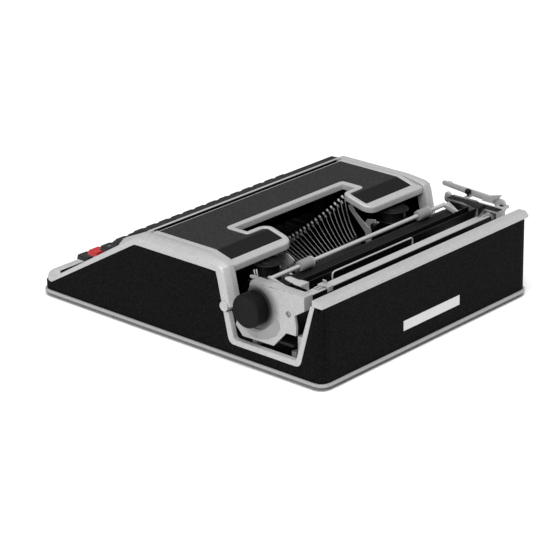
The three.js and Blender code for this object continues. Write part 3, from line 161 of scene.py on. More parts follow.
class Finish:
    """A procedural material: a Principled shader with noise in its colour, roughness and bump."""

    def __init__(self, name, color, roughness, metallic=0.0, specular=0.5):
        self.material = bpy.data.materials.new(name)
        self.material.use_nodes = True
        self.tree = self.material.node_tree
        self.shader = self.tree.nodes["Principled BSDF"]
        self.color = self.rgb(color)
        self.fill(self.shader, {
            "Base Color": self.color, "Roughness": roughness, "Metallic": metallic,
            "Specular IOR Level": specular,
        })
        self.place = self.node("TexCoord").outputs["Object"]
        self.normal = None

    @staticmethod
    def rgb(color):
        return (*color, 1) if isinstance(color, tuple) else (color, color, color, 1)

    def darker(self, share):
        return tuple(c * share for c in self.color[:3])

    def fill(self, node, inputs):
        """Sets a node's inputs, or links those whose value is another node's output."""
        for socket, value in inputs.items():
            if isinstance(value, bpy.types.NodeSocket):
                self.tree.links.new(value, node.inputs[socket])
            else:
                node.inputs[socket].default_value = value

    def node(self, kind, inputs=None, operation=None):
        """A new node with its inputs filled."""
        node = self.tree.nodes.new("ShaderNode" + kind)
        if operation:
            node.operation = operation
        self.fill(node, inputs or {})
        return node

    def noise(self, scale, detail=4, stretch=None, roughness=0.5):
        """Noise of so many waves to the metre."""
        place = self.place
        if stretch:
            place = self.node("Mapping", {"Vector": place, "Scale": stretch}).outputs["Vector"]
        inputs = {"Vector": place, "Scale": scale, "Detail": detail, "Roughness": roughness}
        return self.node("TexNoise", inputs).outputs["Fac"]

    def cells(self, scale):
        return self.node("TexVoronoi", {"Vector": self.place, "Scale": scale}).outputs["Distance"]

    def ramp(self, value, low, high, low_to=0.0, high_to=1.0):
        """low_to where the value is low or less, rising or falling to high_to."""
        return self.node("MapRange", {
            "Value": value, "From Min": low, "From Max": high, "To Min": low_to, "To Max": high_to,
        }).outputs["Result"]

    def times(self, a, b):
        return self.node("Math", {0: a, 1: b}, "MULTIPLY").outputs["Value"]

    def tint(self, mask, other):
        """Mixes another colour over the base colour where the mask is 1."""
        links = self.shader.inputs["Base Color"].links
        under = links[0].from_socket if links else self.color
        node = self.node("Mix")
        node.data_type = "RGBA"
        self.fill(node, {"Factor": mask, MIX_A: under, MIX_B: self.rgb(other)})
        self.fill(self.shader, {"Base Color": node.outputs[MIX_RESULT]})

    def fleck(self, other, scale, detail, between, most, roughness=0.5):
        """Mixes another colour in by noise: none where it is low, and the most where it is high."""
        noise = self.noise(scale, detail, roughness=roughness)
        self.tint(self.ramp(noise, *between, 0, most), other)

    def gloss(self, mask, low, high):
        """Roughness from low, where the mask is 0, to high."""
        self.fill(self.shader, {"Roughness": self.ramp(mask, 0, 1, low, high)})

    def ring(self, centre, inner, outer):
        """1 within inner of an axis along X, falling to 0 at outer."""
        flat = self.node("VectorMath", {0: self.place, 1: (0, 1, 1)}, "MULTIPLY")
        reach = self.node("VectorMath", {0: flat.outputs["Vector"], 1: (0, *centre)}, "DISTANCE")
        return self.ramp(reach.outputs["Value"], inner, outer, 1, 0)

    def along(self, axis, low, high, low_to=0.0, high_to=1.0):
        """A ramp between two places along an axis."""
        split = self.node("SeparateXYZ", {"Vector": self.place})
        return self.ramp(split.outputs[axis], low, high, low_to, high_to)

    def bump(self, height, strength, distance):
        """Adds a bump over any that is there."""
        inputs = {"Height": height, "Strength": strength, "Distance": distance}
        if self.normal is not None:
            inputs["Normal"] = self.normal
        self.normal = self.node("Bump", inputs).outputs["Normal"]
        self.fill(self.shader, {"Normal": self.normal})


def crinkle(name, color, rubbed):
    """Black crackle paint: fine wrinkles, pale rubbing and a little dust in patches."""
    finish = Finish(name, color, roughness=0.62, specular=0.04)
    wrinkles = finish.noise(scale=1500, detail=3, roughness=0.6)
    finish.bump(wrinkles, strength=0.55, distance=0.00035)
    finish.bump(finish.cells(scale=900), strength=0.35, distance=0.0003)
    finish.fleck(rubbed, scale=560, detail=3, between=(0.46, 0.66), most=0.45, roughness=0.8)
    dust = finish.ramp(finish.noise(scale=1300, roughness=0.8), 0.66, 0.78, 0, 0.55)
    patch = finish.ramp(finish.noise(scale=9, detail=3), 0.48, 0.68)
    finish.tint(finish.times(dust, patch), rubbed * 5)
    finish.gloss(wrinkles, 0.5, 0.8)
    return finish


def satin(name, color, metallic, roughness, speck=0.35, mottle=0.16):
    """Satin silver paint with faint mottling, grain and dark specks."""
    finish = Finish(name, color, roughness, metallic)
    small, cloud, grain, dark = (finish.darker(share) for share in (0.6, 0.75, 0.55, 0.3))
    finish.fleck(small, scale=260, detail=6, between=(0.35, 0.72), most=2.4 * mottle, roughness=0.75)
    finish.fleck(cloud, scale=22, detail=3, between=(0.35, 0.7), most=mottle)
    finish.fleck(grain, scale=640, detail=3, between=(0.40, 0.62), most=0.34, roughness=0.8)
    finish.fleck(dark, scale=420, detail=2, between=(0.73, 0.78), most=speck, roughness=0.4)
    finish.gloss(finish.noise(scale=60), roughness - 0.08, roughness + 0.12)
    finish.bump(finish.noise(scale=900, detail=2), strength=0.12, distance=0.0002)
    return finish


def plated(name, color, roughness):
    """Plated steel with fine drawn lines and dull spots."""
    finish = Finish(name, color, roughness, metallic=0.45)
    lines = finish.noise(scale=90, detail=3, stretch=(1, 30, 30))
    finish.gloss(lines, roughness - 0.06, roughness + 0.16)
    finish.bump(lines, strength=0.08, distance=0.0001)
    finish.fleck(finish.darker(0.55), scale=70, detail=4, between=(0.55, 0.8), most=0.6, roughness=0.7)
    return finish


def moulded(name, color, roughness, scratch, specular=0.5):
    """Moulded plastic, rubber or dark metal: fine grain and faint scratches."""
    finish = Finish(name, color, roughness, specular=specular)
    finish.bump(finish.noise(scale=1800, detail=2), strength=0.18, distance=0.0002)
    streaks = finish.noise(scale=260, detail=2, stretch=(1, 9, 3))
    scratches = finish.ramp(streaks, 0.66, 0.72, 0, scratch)
    lighter = tuple(min(1, c * 1.8 + 0.05) for c in finish.color[:3])
    finish.tint(scratches, lighter)
    finish.gloss(finish.noise(scale=45), roughness - 0.08, roughness + 0.12)
    return finish


MATERIALS = {
    "shell": crinkle("shell_black", 0.0015, rubbed=0.022),
    "base": satin("base_silver", 0.40, metallic=0.2, roughness=0.45),
    "silver": satin("trim_silver", 0.52, metallic=0.28, roughness=0.48),
    "plate": satin("plate_silver", 0.50, metallic=0.2, roughness=0.42, speck=0.7, mottle=0.22),
    "cover_panel": crinkle("cover_panel_black", 0.022, rubbed=0.075),
    "steel": plated("plated_steel", 0.58, roughness=0.34),
    "dark_steel": moulded("dark_steel", 0.005, 0.45, scratch=0.04, specular=0.2),
    "rubber": moulded("black_rubber", 0.004, 0.45, scratch=0.04, specular=0.2),
    "knob": moulded("knob_black", 0.0035, 0.5, scratch=0.04, specular=0.12),
    "key_black": moulded("key_black", 0.010, 0.42, scratch=0.08, specular=0.3),
    "key_red": moulded("key_red", (0.45, 0.008, 0.012), 0.36, scratch=0.1),
    "roller_grey": moulded("roller_grey", 0.22, 0.7, scratch=0.3, specular=0.3),
    "grey_metal": plated("grey_metal", 0.30, roughness=0.45),
    "label": satin("label_satin", 0.66, metallic=0.1, roughness=0.35, speck=0.1, mottle=0.05),
}
FOLD_SHADE = (0.0385, 0.0415)  # painted shade: the cover's panel is darker behind its fold, where it slopes away from the light
FOOT_SHADE = (0.0044, 0.0056)  # painted shade: the base is darker towards its foot, where shadow falls under it
KNOB_SHADOW_RING = (0.0195, 0.034)  # painted shadow of the platen knob, darkening the end plate round it


def place_materials():
    """Adds the painted shade that lies in one place, and puts each material on its CAD nodes."""
    panel, base, plate = MATERIALS["cover_panel"], MATERIALS["base"], MATERIALS["plate"]
    panel.tint(panel.along("Y", *FOLD_SHADE), 0.013)
    base.tint(base.along("Z", *FOOT_SHADE, 0.85, 0), 0.03)
    plate.tint(plate.ring((AXIS_Y * MM, AXIS_Z * MM), *KNOB_SHADOW_RING), 0.03)
    for part in frame["record"]["subparts"]:
        mesh = NODES[part["node"]].data
        mesh.materials.clear()
        mesh.materials.append(MATERIALS[part["material_slot"]].material)


# ------------ building pieces, in millimetres
def circle(radius, count):
    """Points round a circle."""
    angles = (math.tau * i / count for i in range(count))
    return [(radius * math.cos(angle), radius * math.sin(angle)) for angle in angles]


def arc_points(corner, before, after, radius, steps):
    """A rounded corner's points, from one side to the other."""
    corner, before, after = Vector(corner), Vector(before), Vector(after)
    start = corner + (before - corner).normalized() * radius
    end = corner + (after - corner).normalized() * radius
    points = []
    for i in range(steps + 1):
        t = i / steps
        points.append(start.lerp(corner, t).lerp(corner.lerp(end, t), t))
    return points


def rounded(corners, steps=4):
    """A closed outline from (a, b, radius) corners, each with as many points."""
    flat = [(a, b) for a, b, _ in corners]
    points = []
    for i, (a, b, radius) in enumerate(corners):
        after = flat[(i + 1) % len(flat)]
        points += arc_points((a, b), flat[i - 1], after, max(radius, 0.01), steps)
    return points


def link(start, end, start_r, end_r, steps=8):
    """The outline of a flat link with round ends."""
    (y0, z0), (y1, z1) = start, end
    heading = math.atan2(z1 - z0, y1 - y0)
    points = []
    for (y, z), radius, turn in ((start, start_r, 90), (end, end_r, 270)):
        for i in range(steps + 1):
            angle = heading + math.radians(turn + 180 * i / steps)
            points.append((y + radius * math.cos(angle), z + radius * math.sin(angle)))
    return points


def heading_at(points, i):
    """The ways a line runs before and after one of its points; both are the same at an end."""
    before = (points[i] - points[i - 1]).normalized() if i > 0 else None
    after = (points[i + 1] - points[i]).normalized() if i < len(points) - 1 else None
    return before or after, after or before


def skin(sections, looped=False):
    """A skin over closed sections with as many points: closed at both ends, or run round to the first."""
    part = bmesh.new()
    rings = [[part.verts.new(point) for point in section] for section in sections]
    for low, high in zip(rings, rings[1:] + rings[:1] if looped else rings[1:]):
        for i in range(len(low)):
            j = (i + 1) % len(low)
            part.faces.new((low[i], low[j], high[j], high[i]))
    if not looped:
        part.faces.new(rings[0])
        part.faces.new(rings[-1])
    return part


def sharp_edges(part, limit):
    """The edges whose two faces turn by more than so many degrees."""
    return [
        edge for edge in part.edges
        if len(edge.link_faces) == 2 and edge.calc_face_angle(0) > math.radians(limit)
    ]


def bevel_edges(part, width, segments):
    """Rounds a part's sharp edges."""
    if width > 0:
        part.normal_update()
        bmesh.ops.bevel(
            part, geom=sharp_edges(part, 30), offset=width, segments=segments, profile=0.5,
            affect="EDGES", clamp_overlap=True,
        )


class Piece:
    """Solids gathered in one bmesh and then shown as one object that rides on a body."""

    def __init__(self, name, body, slot, replaces=(), smooth=38):
        self.name = name
        self.body = body
        self.slot = slot
        self.replaced = replaces
        self.smooth = smooth
        self.bm = bmesh.new()

    def take(self, part, matrix=Matrix()):
        """Moves a part into place and adds it to the piece."""
        part.transform(matrix)
        mesh = bpy.data.meshes.new("part")
        bmesh.ops.recalc_face_normals(part, faces=part.faces)
        part.to_mesh(mesh)
        part.free()
        self.bm.from_mesh(mesh)
        bpy.data.meshes.remove(mesh)

    def box(self, x, y, z, edge=0.3, segments=2, turn=None):
        """A box between two places along each axis, with its edges rounded."""
        part = bmesh.new()
        bmesh.ops.create_cube(part, size=1)
        part.transform(Matrix.Diagonal((x[1] - x[0], y[1] - y[0], z[1] - z[0], 1)))
        bevel_edges(part, edge, segments)
        place = Matrix.Translation(((x[0] + x[1]) / 2, (y[0] + y[1]) / 2, (z[0] + z[1]) / 2))
        self.take(part, place @ turn if turn else place)

    def prism(self, outline, axis, low, high, edge=0.3, segments=2):
        """An outline in the plane across the axis, between two places along it."""
        part = bmesh.new()
        at = "XYZ".index(axis)
        bottom = [part.verts.new((*p[:at], low, *p[at:])) for p in outline]
        top = [part.verts.new((*p[:at], high, *p[at:])) for p in outline]
        part.faces.new(bottom)
        part.faces.new(top)
        for i in range(len(outline)):
            j = (i + 1) % len(outline)
            part.faces.new((bottom[i], bottom[j], top[j], top[i]))
        bmesh.ops.recalc_face_normals(part, faces=part.faces)
        bevel_edges(part, edge, segments)
        self.take(part)

    def lathe(self, profile, place, sides, axis="X", bored=False):
        """A profile of (along, radius) turned round an axis through place."""
        at = "XYZ".index(axis)
        rings = [
            [(*spot[:at], along, *spot[at:]) for spot in circle(radius, sides)]
            for along, radius in profile
        ]
        self.take(skin(rings, looped=bored), Matrix.Translation(place))

    def rod(self, start, end, radius, edge, sides=20):
        """A straight rod with softened ends."""
        start, end = Vector(start), Vector(end)
        length = (end - start).length
        profile = [(0, radius - edge), (edge, radius), (length - edge, radius), (length, radius - edge)]
        rings = [[(*spot, along) for spot in circle(r, sides)] for along, r in profile]
        turn = (end - start).to_track_quat("Z", "Y").to_matrix().to_4x4()
        self.take(skin(rings), Matrix.Translation(start) @ turn)

    def wire(self, points, radius, sides=10):
        """A round wire through the points, mitred at each."""
        points = [Vector(p) for p in points]
        aside = Vector((0.13, 0.21, 0.97))  # no wire runs this way
        sections = []
        for i, point in enumerate(points):
            before, after = heading_at(points, i)
            along = (before + after).normalized()
            side = along.cross(aside).normalized()
            up = side.cross(along)
            sections.append([point + radius * (a * side + b * up) for a, b in circle(1, sides)])
        self.loft(sections)

    def loft(self, sections):
        """A skin over closed sections, with both ends closed."""
        self.take(skin(sections))

    def done(self):
        """Turns the piece to metres, marks its sharp edges and puts it in the scene."""
        mesh = bpy.data.meshes.new(self.name)
        self.bm.transform(Matrix.Scale(MM, 4))
        self.bm.normal_update()
        for face in self.bm.faces:
            face.smooth = True
        for edge in sharp_edges(self.bm, self.smooth):
            edge.smooth = False
        self.bm.to_mesh(mesh)
        self.bm.free()
        mesh.materials.append(MATERIALS[self.slot].material)
        piece = add_object(self.name, mesh)
        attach(piece, self.body)
        if self.replaced:
            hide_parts(*self.replaced)


# ------------ silver frame
CREASE_AT = 0.54  # where the crease runs, as a share of the frame's width
FLAT_CROWN = -0.6  # the frame's inner edge falls where it has no crown
LEG_FOOT_Z, LEG_W = 59, 9.6
STRIP_D, STRIP_H, STRIP_ROUND = 14, 5, 3.0
CORNER_R, CORNER_STEPS = 13.9, 6


def frame_section(outer, inward, up, width, height, crown, round_top=2.4):
    """One rounded section of the frame, from its lower outer corner."""
    outer, inward, up = Vector(outer), Vector(inward), Vector(up).normalized()
    crease = height + (crown if crown > 0 else crown / 2)
    ring = rounded([
        (0, 0, 0.6), (width, 0, 0.6), (width, height + crown, 1.0), (width * CREASE_AT, crease, 1.0),
        (0, height, round_top),
    ], 5)
    return [outer + inward * a + up * b for a, b in ring]


def side_path():
    """Sections along a side, from the leg's foot to the front: lower corner, upper corner, crown."""
    leg_top = cover_z(COVER_REAR_Y) + 0.3
    foot, deck, top = cut_front(LEG_FOOT_Z), cut_front(DECK_Z), cut_front(leg_top)
    raised = DECK_Z + FRAME_H
    step = HOOD_Y - 0.5
    return [
        ((foot, LEG_FOOT_Z), (foot + LEG_W, LEG_FOOT_Z), CROWN),
        ((cut_front(DECK_Z - 6), DECK_Z - 6), (cut_front(leg_top - 7) + LEG_W, leg_top - 7), CROWN),
        ((deck - 1.2, DECK_Z - 1), (top + 8.6, leg_top - 0.6), CROWN),
        ((deck - 5, DECK_Z), (top + 3, leg_top + 1.6), CROWN),
        ((COVER_FOLD_Y, DECK_Z), (COVER_FOLD_Y, raised), CROWN),
        ((SLOPE_TOP_Y + 5, DECK_Z), (SLOPE_TOP_Y + 5, raised), CROWN),
        ((SLOPE_TOP_Y, DECK_Z - 0.6), (SLOPE_TOP_Y, raised - 0.6), CROWN - 1.5),
        ((SLOPE_TOP_Y - 5, DECK_Z - 2.9), (SLOPE_TOP_Y - 5, raised - 3.4), CROWN - 1.1),
        ((HOOD_Y, slope_z(HOOD_Y)), (HOOD_Y, slope_z(HOOD_Y) + 7.8), CROWN + 1.3),
        ((step, slope_z(step)), (step, slope_z(step) + 7.6), FLAT_CROWN),
        ((SLOPE_Y + 6, FRONT_Z + 3.5), (SLOPE_Y + 6, FRONT_Z + 8.7), FLAT_CROWN),
        ((SLOPE_Y + 1, FRONT_Z + 0.8), (SLOPE_Y + 1, FRONT_Z + 5.8), FLAT_CROWN),
    ]


def strip_corner(side, width):
    """Sections round a front corner, from the side frame to the front strip."""
    sections = []
    corner = Vector((side * (HALF - CORNER_R), FRONT + CORNER_R, 0))
    inner = Vector((side * INNER, SLOPE_Y, 0))
    for i in range(CORNER_STEPS + 1):
        share = i / CORNER_STEPS
        turn = math.radians(90 * share)
        out = Vector((side * math.cos(turn), -math.sin(turn), 0))
        start = inner - Vector((0, WELL_AHEAD * share, 0))
        if i == 0:
            edge = inner + out * width
        elif i == CORNER_STEPS:
            edge = inner + out * STRIP_D
        else:
            edge = corner + out * CORNER_R
        inward = start - edge
        height = STRIP_H + (FRAME_H - STRIP_H) * share
        sections.append(frame_section(
            (edge.x, edge.y, FRONT_Z), inward.normalized(), (0, 0, 1), inward.length, height,
            FLAT_CROWN, STRIP_ROUND,
        ))
    return sections


def silver_frame():
    """One frame round both sides and the front, with a leg down to each side's stud."""
    replaced = ("front_strip", "side_frame_right", "side_frame_left")
    piece = Piece("silver_frame", "frame", "silver", replaced)
    width = HALF - INNER
    halves = []
    for _, side in SIDES:
        half = []
        for low, high, crown in side_path():
            rise = Vector((0, high[0] - low[0], high[1] - low[1]))
            start = (side * HALF, *low)
            half.append(frame_section(start, (-side, 0, 0), rise, width, rise.length, crown))
        halves.append(half + strip_corner(side, width))
    right, left = halves
    piece.loft(right + left[::-1])
    piece.done()


# ------------ ribbon cover
COVER_HALF, PANEL_HALF = 153.4, 146.5
OPENING_Y, STEP_Y = 3.4, 35.7  # front of the wide part of the opening, and of its neck
OPENING_HALF, NECK_HALF = 94.9, 67.5
RIM_W, RIM_DEPTH, RIM_RISE = 6.5, 6.5, 0.8
RIM_REAR_Y = COVER_REAR_Y - 3.6  # front of the rim's bar along the cover's rear
PANEL_REAR_Y = 61.4
LIP_Y = -43.8  # rear of the dark lip at the cover's front
SHEET = (-2.1, 4)  # how far the sheet under the panel reaches above and below the cover's top

# The rim's edge on the panel's side, as (x, y, corner radius), from the right to the middle and back out.
RIM_HALF = [
    (COVER_HALF, RIM_REAR_Y, 0), (NECK_HALF, RIM_REAR_Y, 7), (NECK_HALF, STEP_Y, 6.5),
    (OPENING_HALF, STEP_Y, 6), (OPENING_HALF, OPENING_Y, 6),
]
RIM_PATH = RIM_HALF + [(-x, y, radius) for x, y, radius in reversed(RIM_HALF)]


def rim_line():
    """The rim's path with round corners."""
    points = [Vector(RIM_PATH[0][:2])]
    for before, (x, y, radius), after in zip(RIM_PATH, RIM_PATH[1:], RIM_PATH[2:]):
        points += arc_points((x, y), before[:2], after[:2], radius, 8)
    points.append(Vector(RIM_PATH[-1][:2]))
    return points


def cover_rim(piece):
    """A soft raised rim round the opening and along the cover's rear edge."""
    line = rim_line()
    sections = []
    for i, point in enumerate(line):
        before, after = heading_at(line, i)
        along = (before + after).normalized()
        outward = Vector((along.y, -along.x))  # away from the panel
        width = RIM_W / max(math.sqrt((1 + before.dot(after)) / 2), 0.5)
        section = []
        for a, b in rounded([
            (0, -RIM_DEPTH, 0.5), (width, -RIM_DEPTH, 0.5), (width, RIM_RISE, 2.0), (0, RIM_RISE, 1.2),
        ], 5):
            spot = point + outward * a
            section.append(Vector((spot.x, spot.y, cover_z(spot.y) + b)))
        sections.append(section)
    piece.loft(sections)


def cover_band(y0, y1, above, below):
    """The cover's profile between two places, from above its top to below it."""
    folded = y0 < COVER_FOLD_Y < y1
    ys = [y0, COVER_FOLD_Y, y1] if folded else [y0, y1]
    return [(y, cover_z(y) + above) for y in ys] + [(y, cover_z(y) - below) for y in ys[::-1]]


def ribbon_cover():
    """The lifting cover: rim, side rails and the sheet under its panel, with a dark lip in front."""
    piece = Piece("ribbon_cover_shell", "ribbon_cover", "silver", ("ribbon_cover_frame",), smooth=50)
    cover_rim(piece)
    rail = cover_band(COVER_FRONT_Y, COVER_REAR_Y - 1, 0, 8.3)
    under = RIM_REAR_Y + 1
    for _, side in SIDES:
        piece.prism(rail, "X", *span(side, 146.3, COVER_HALF), 0.7, 3)
        piece.prism(cover_band(OPENING_Y, under, *SHEET), "X", *span(side, 94, PANEL_HALF), 0)
        piece.prism(cover_band(STEP_Y, under, *SHEET), "X", *span(side, 67, 94.5), 0)
        piece.prism(cover_band(PANEL_REAR_Y, under, 0.3, 3), "X", *span(side, 68.5, 147), 0)
    piece.prism(cover_band(-44.6, 4, *SHEET), "X", -PANEL_HALF, PANEL_HALF, 0)
    piece.done()
    lip = Piece("cover_lip", "ribbon_cover", "dark_steel")
    lip.prism(cover_band(COVER_FRONT_Y, LIP_Y, -1.8, 6), "X", -147, 147, 0.4)
    lip.done()
    line = Piece("cover_front_edge", "ribbon_cover", "silver")
    line.prism(cover_band(LIP_Y, LIP_Y + 0.8, -0.3, 3), "X", -PANEL_HALF, PANEL_HALF, 0)
    line.done()


# ------------ hood
HOOD_HALF = 154.1
HOOD_OUTLINE = [  # (y, z), from its lower front edge over its top and back underneath
    (-88.2, 81), (-87.6, 84), (HOOD_Y, slope_z(HOOD_Y) + 13.9), (-62.9, 105.75), (-53.6, 106.2),
    (-53.6, 100.5), (-62, 100.2), (-86.5, 80.8),
]
SHADES = (  # painted shade, as dark sheets put in gaps that lie in shade: half width, along Y, along Z
    (147, (-49.85, -49.3), (91, 106)),  # in the gap behind the strip
    (152, (-89.2, -88.7), (34, 80.6)),  # below the hood
    (152, (SLOPE_Y - WELL_AHEAD, SLOPE_Y - WELL_AHEAD + 0.4), (9, 25)),  # at the well's front
    (160, (-188, 188), (5.25, 5.6)),  # on the base tray's floor
)


def hood():
    """The dark hood over the upper keys, the bright strip between it and the cover, and dark sheets of
    painted shade in the gaps.
    """
    top = Piece("hood", "frame", "cover_panel", ("front_cowl",))
    top.prism(HOOD_OUTLINE, "X", -HOOD_HALF, HOOD_HALF, 0.4)
    top.done()
    strip = Piece("deck_edge", "frame", "silver", ("deck_strip",))
    strip.box((-HOOD_HALF, HOOD_HALF), (-53.5, -49.9), (98, 106.3), 0.7)
    strip.done()
    # painted shade: dark sheets in the gaps, as listed in SHADES
    shade = Piece("shade_sheets", "frame", "dark_steel")
    for half, y, z in SHADES:
        shade.box((-half, half), y, z, 0)
    shade.done()


# ------------ keys
SPACE_ROW_Y = -178
KEY_RISE = 5.9  # key tops above the side frame
# Each row's name, its number from the front, the place of its first key in pitches, and its legend. The
# space in a legend stands for the middle key.
ROWS = (
    ("key_row_1", 1, -5.75, "ZXCVBNM,./-="),
    ("key_row_2", 2, -6.25, "@ASDFG JKL;'?!"),
    ("key_row_3", 3, -6.5, "%QWERTYUIOP&:)"),
    ("key_row_4", 4, -6.0, "1234567890+*#"),
)
CENTRE_MARK = "H"
MARK_SIZE, MARK_THICK, MARK_SINK = 5.2, 0.06, 0.38
CAP_SIZE = (15.5, 13.9)
LEVER_RISE = 0.055
CAP_LEVELS = (  # height above the top, share of the full size, corner radius
    (-5.0, 1.0, 0.8), (-4.4, 1.0, 1.2), (-1.2, 0.96, 1.8), (-0.3, 0.94, 2.0),
    (0, 0.9, 2.1), (-0.2, 0.7, 2.0), (-0.4, 0.4, 1.6), (-0.45, 0.12, 0.4),
)
SPACE_BAR_SIZE, SPACE_LEVER_X = (187, 13), 64.1
SHIFT_X, SHIFT_LEVER_X, SHIFT_SIZE = 126, 121, (15.5, 18)
RED_X, RED_LEVER_X, RED_SIZE = 128, 132.5, (17, 14.5)


def key_place(row):
    """A row's place along Y and the height of its key tops."""
    y = SPACE_ROW_Y + KEY_PITCH * row
    return y, slope_z(y) + FRAME_H + KEY_RISE


def key_cap(piece, x, y, top, size=CAP_SIZE):
    """A cap with soft corners and a top dished for the fingertip."""
    rings = []
    for rise, share, radius in CAP_LEVELS:
        a, b = size[0] / 2 * share, size[1] / 2 * share
        ring = rounded([(-a, -b, radius), (a, -b, radius), (a, b, radius), (-a, b, radius)])
        rings.append([Vector((x + p.x, y + p.y, top + rise)) for p in ring])
    piece.loft(rings)


def key_lever(piece, x, y, top):
    """A stem under the cap and a flat lever back to the shaft."""
    shaft_y, shaft_z = LEVER_SHAFT
    lever_z = shaft_z + (shaft_y - y) * LEVER_RISE
    front, rear, half = y - 1.5, y + 1.5, 3.5
    stem = [(front, lever_z - half), (rear, lever_z - half), (rear, top - 4), (front, top - 4)]
    piece.prism(stem, "X", x - 0.6, x + 0.6, 0.15, 1)
    lever = [
        (front, lever_z - half), (shaft_y + 4, shaft_z - half), (shaft_y + 4, shaft_z + half),
        (front, lever_z + half),
    ]
    piece.prism(lever, "X", x - 0.55, x + 0.55, 0.15, 1)


def single_key(name, slot, lever_slot, cap_place, cap_size, lever_place):
    """A key that moves by itself: its cap and its lever."""
    cap = Piece(name + "_cap", name, slot, (name,))
    key_cap(cap, *cap_place, cap_size)
    cap.done()
    lever = Piece(name + "_lever", name, lever_slot)
    key_lever(lever, *lever_place)
    lever.done()


def letters(name, body, marks):
    """Raised white marks on the key tops, as one object, from (mark, x, y, top)."""
    texts = []
    for mark, x, y, top in marks:
        curve = bpy.data.curves.new(name, "FONT")
        curve.body = mark
        curve.size = MARK_SIZE * MM
        curve.align_x = "CENTER"
        curve.align_y = "CENTER"
        curve.extrude = MARK_THICK * MM
        text = add_object(name, curve)
        text.location = (x * MM, y * MM, (top - MARK_SINK) * MM)
        texts.append(text)
    bpy.context.view_layer.update()
    joined = bmesh.new()
    for text in texts:
        mesh = bpy.data.meshes.new_from_object(text)
        mesh.transform(text.matrix_world)
        joined.from_mesh(mesh)
        bpy.data.meshes.remove(mesh)
        curve = text.data
        bpy.data.objects.remove(text)
        bpy.data.curves.remove(curve)
    mesh = bpy.data.meshes.new(name)
    joined.to_mesh(mesh)
    joined.free()
    mesh.materials.append(MATERIALS["label"].material)
    piece = add_object(name, mesh)
    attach(piece, body)


def keyboard():
    """Four rows of keys with the middle key, the space bar, both shift keys and the red key."""
    for name, row, first, legend in ROWS:
        y, top = key_place(row)
        caps = Piece(name + "_caps", name, "key_black", (name,))
        levers = Piece(name + "_levers", name, "dark_steel")
        marks = []
        for i, mark in enumerate(legend):
            place = ((first + i) * KEY_PITCH, y, top)
            if mark == " ":
                single_key("centre_key", "key_black", "dark_steel", place, CAP_SIZE, place)
                letters("centre_key_letter", "centre_key", [(CENTRE_MARK, *place)])
                continue
            key_cap(caps, *place)
            key_lever(levers, *place)
            marks.append((mark, *place))
        caps.done()
        levers.done()
        letters(name + "_letters", name, marks)
    y, top = key_place(0)
    bar = Piece("space_bar_cap", "space_bar", "key_black", ("space_bar",))
    key_cap(bar, 0, y, top, SPACE_BAR_SIZE)
    bar.done()
    levers = Piece("space_bar_levers", "space_bar", "dark_steel")
    for _, side in SIDES:
        key_lever(levers, side * SPACE_LEVER_X, y, top)
    levers.done()
    for hand, side in SIDES:
        cap_place, lever_place = (side * SHIFT_X, y, top + 1), (side * SHIFT_LEVER_X, y, top)
        name = "shift_key_" + hand
        single_key(name, "key_black", "dark_steel", cap_place, SHIFT_SIZE, lever_place)
    y, top = key_place(1)
    cap_place, lever_place = (RED_X, y, top + 1.2), (RED_LEVER_X, y, top)
    single_key("red_key", "key_red", "steel", cap_place, RED_SIZE, lever_place)


# ------------ type basket
FAN_TILT = math.radians(41.45)
BAR_SPLAY = math.radians(21.7)  # how far the resting bars open from the fan's axis
BAR_STEP = math.radians(3.36)
BAR_COUNT = 39
PIVOT_UP = 14.3  # from the strike point to the pivots' plane, along the fan's axis
FAN_AXIS = Vector((0, -math.cos(FAN_TILT), math.sin(FAN_TILT)))
FAN_DOWN = Vector((0, -math.sin(FAN_TILT), -math.cos(FAN_TILT)))
STRIKE = Vector((0, AXIS_Y - 16, AXIS_Z))
FAN_CENTRE = STRIKE + FAN_AXIS * PIVOT_UP
LOWEST_PIVOT_Z = 29.3
PIVOT_R = (FAN_CENTRE.z - LOWEST_PIVOT_Z) / math.cos(FAN_TILT)
BAR_STATIONS = (-1.6, 12, 24, 34, 44, 52, 59.6)
BAR_HALF = 0.2  # half a bar's thickness
BEND_FROM, BEND_OVER = 18, 42  # a bar bends beyond the first of these, over the second
BEND_FULL = math.radians(64)  # an outermost bar's angle, where its end is bent by (8, 7)
COMB_SECTION = ((-3.2, -3), (-4.0, -3), (-4.0, 14), (-3.2, 14))  # (away from the axis, along a bar)
BASKET_OUTLINES = {
    "right": [
        (57.1, 71.6), (50.2, 77.4), (59.7, 84.5), (67.9, 83.8), (76.1, 79.2), (73.6, 74.9),
        (65.3, 69), (66, 30), (58, 30),
    ],
    "left": [
        (60.8, 67.7), (48, 80), (39, 88.5), (36, 93.6), (41.8, 96.2), (46.5, 88.6), (56, 81.2),
        (69.1, 72.7), (69.1, 30), (63, 30),
    ],
}
BRACKET_OUTLINE = [(61, 72), (60, 79), (63.2, 83.8), (75, 85.7), (76, 78)]
SPOOL_X, SPOOL_Y = 103, 70
SPOOL_PROFILE = [  # (z, radius)
    (75, 3.6), (75, 16.7), (75.3, 17), (75.9, 17), (76.2, 16.7), (76.2, 13.4), (86.8, 13.4),
    (86.8, 16.7), (87.1, 17), (87.7, 17), (88, 16.7), (88, 15.4), (87.7, 15), (87.7, 8.6),
    (88.4, 8.2), (88.4, 3.6),
]


def radial(angle):
    """The way from the fan's axis to a bar's pivot."""
    return Vector((math.sin(angle), 0, 0)) + FAN_DOWN * math.cos(angle)


def bar_frame(angle):
    """A resting typebar's frame: x across it, y away from the fan's axis, z along it."""
    away = radial(angle)
    along = FAN_AXIS * math.cos(BAR_SPLAY) + away * math.sin(BAR_SPLAY)
    out = away * math.cos(BAR_SPLAY) - FAN_AXIS * math.sin(BAR_SPLAY)
    across = out.cross(along)
    turn = Matrix((across, out, along)).transposed().to_4x4()
    return Matrix.Translation(FAN_CENTRE + away * PIVOT_R) @ turn


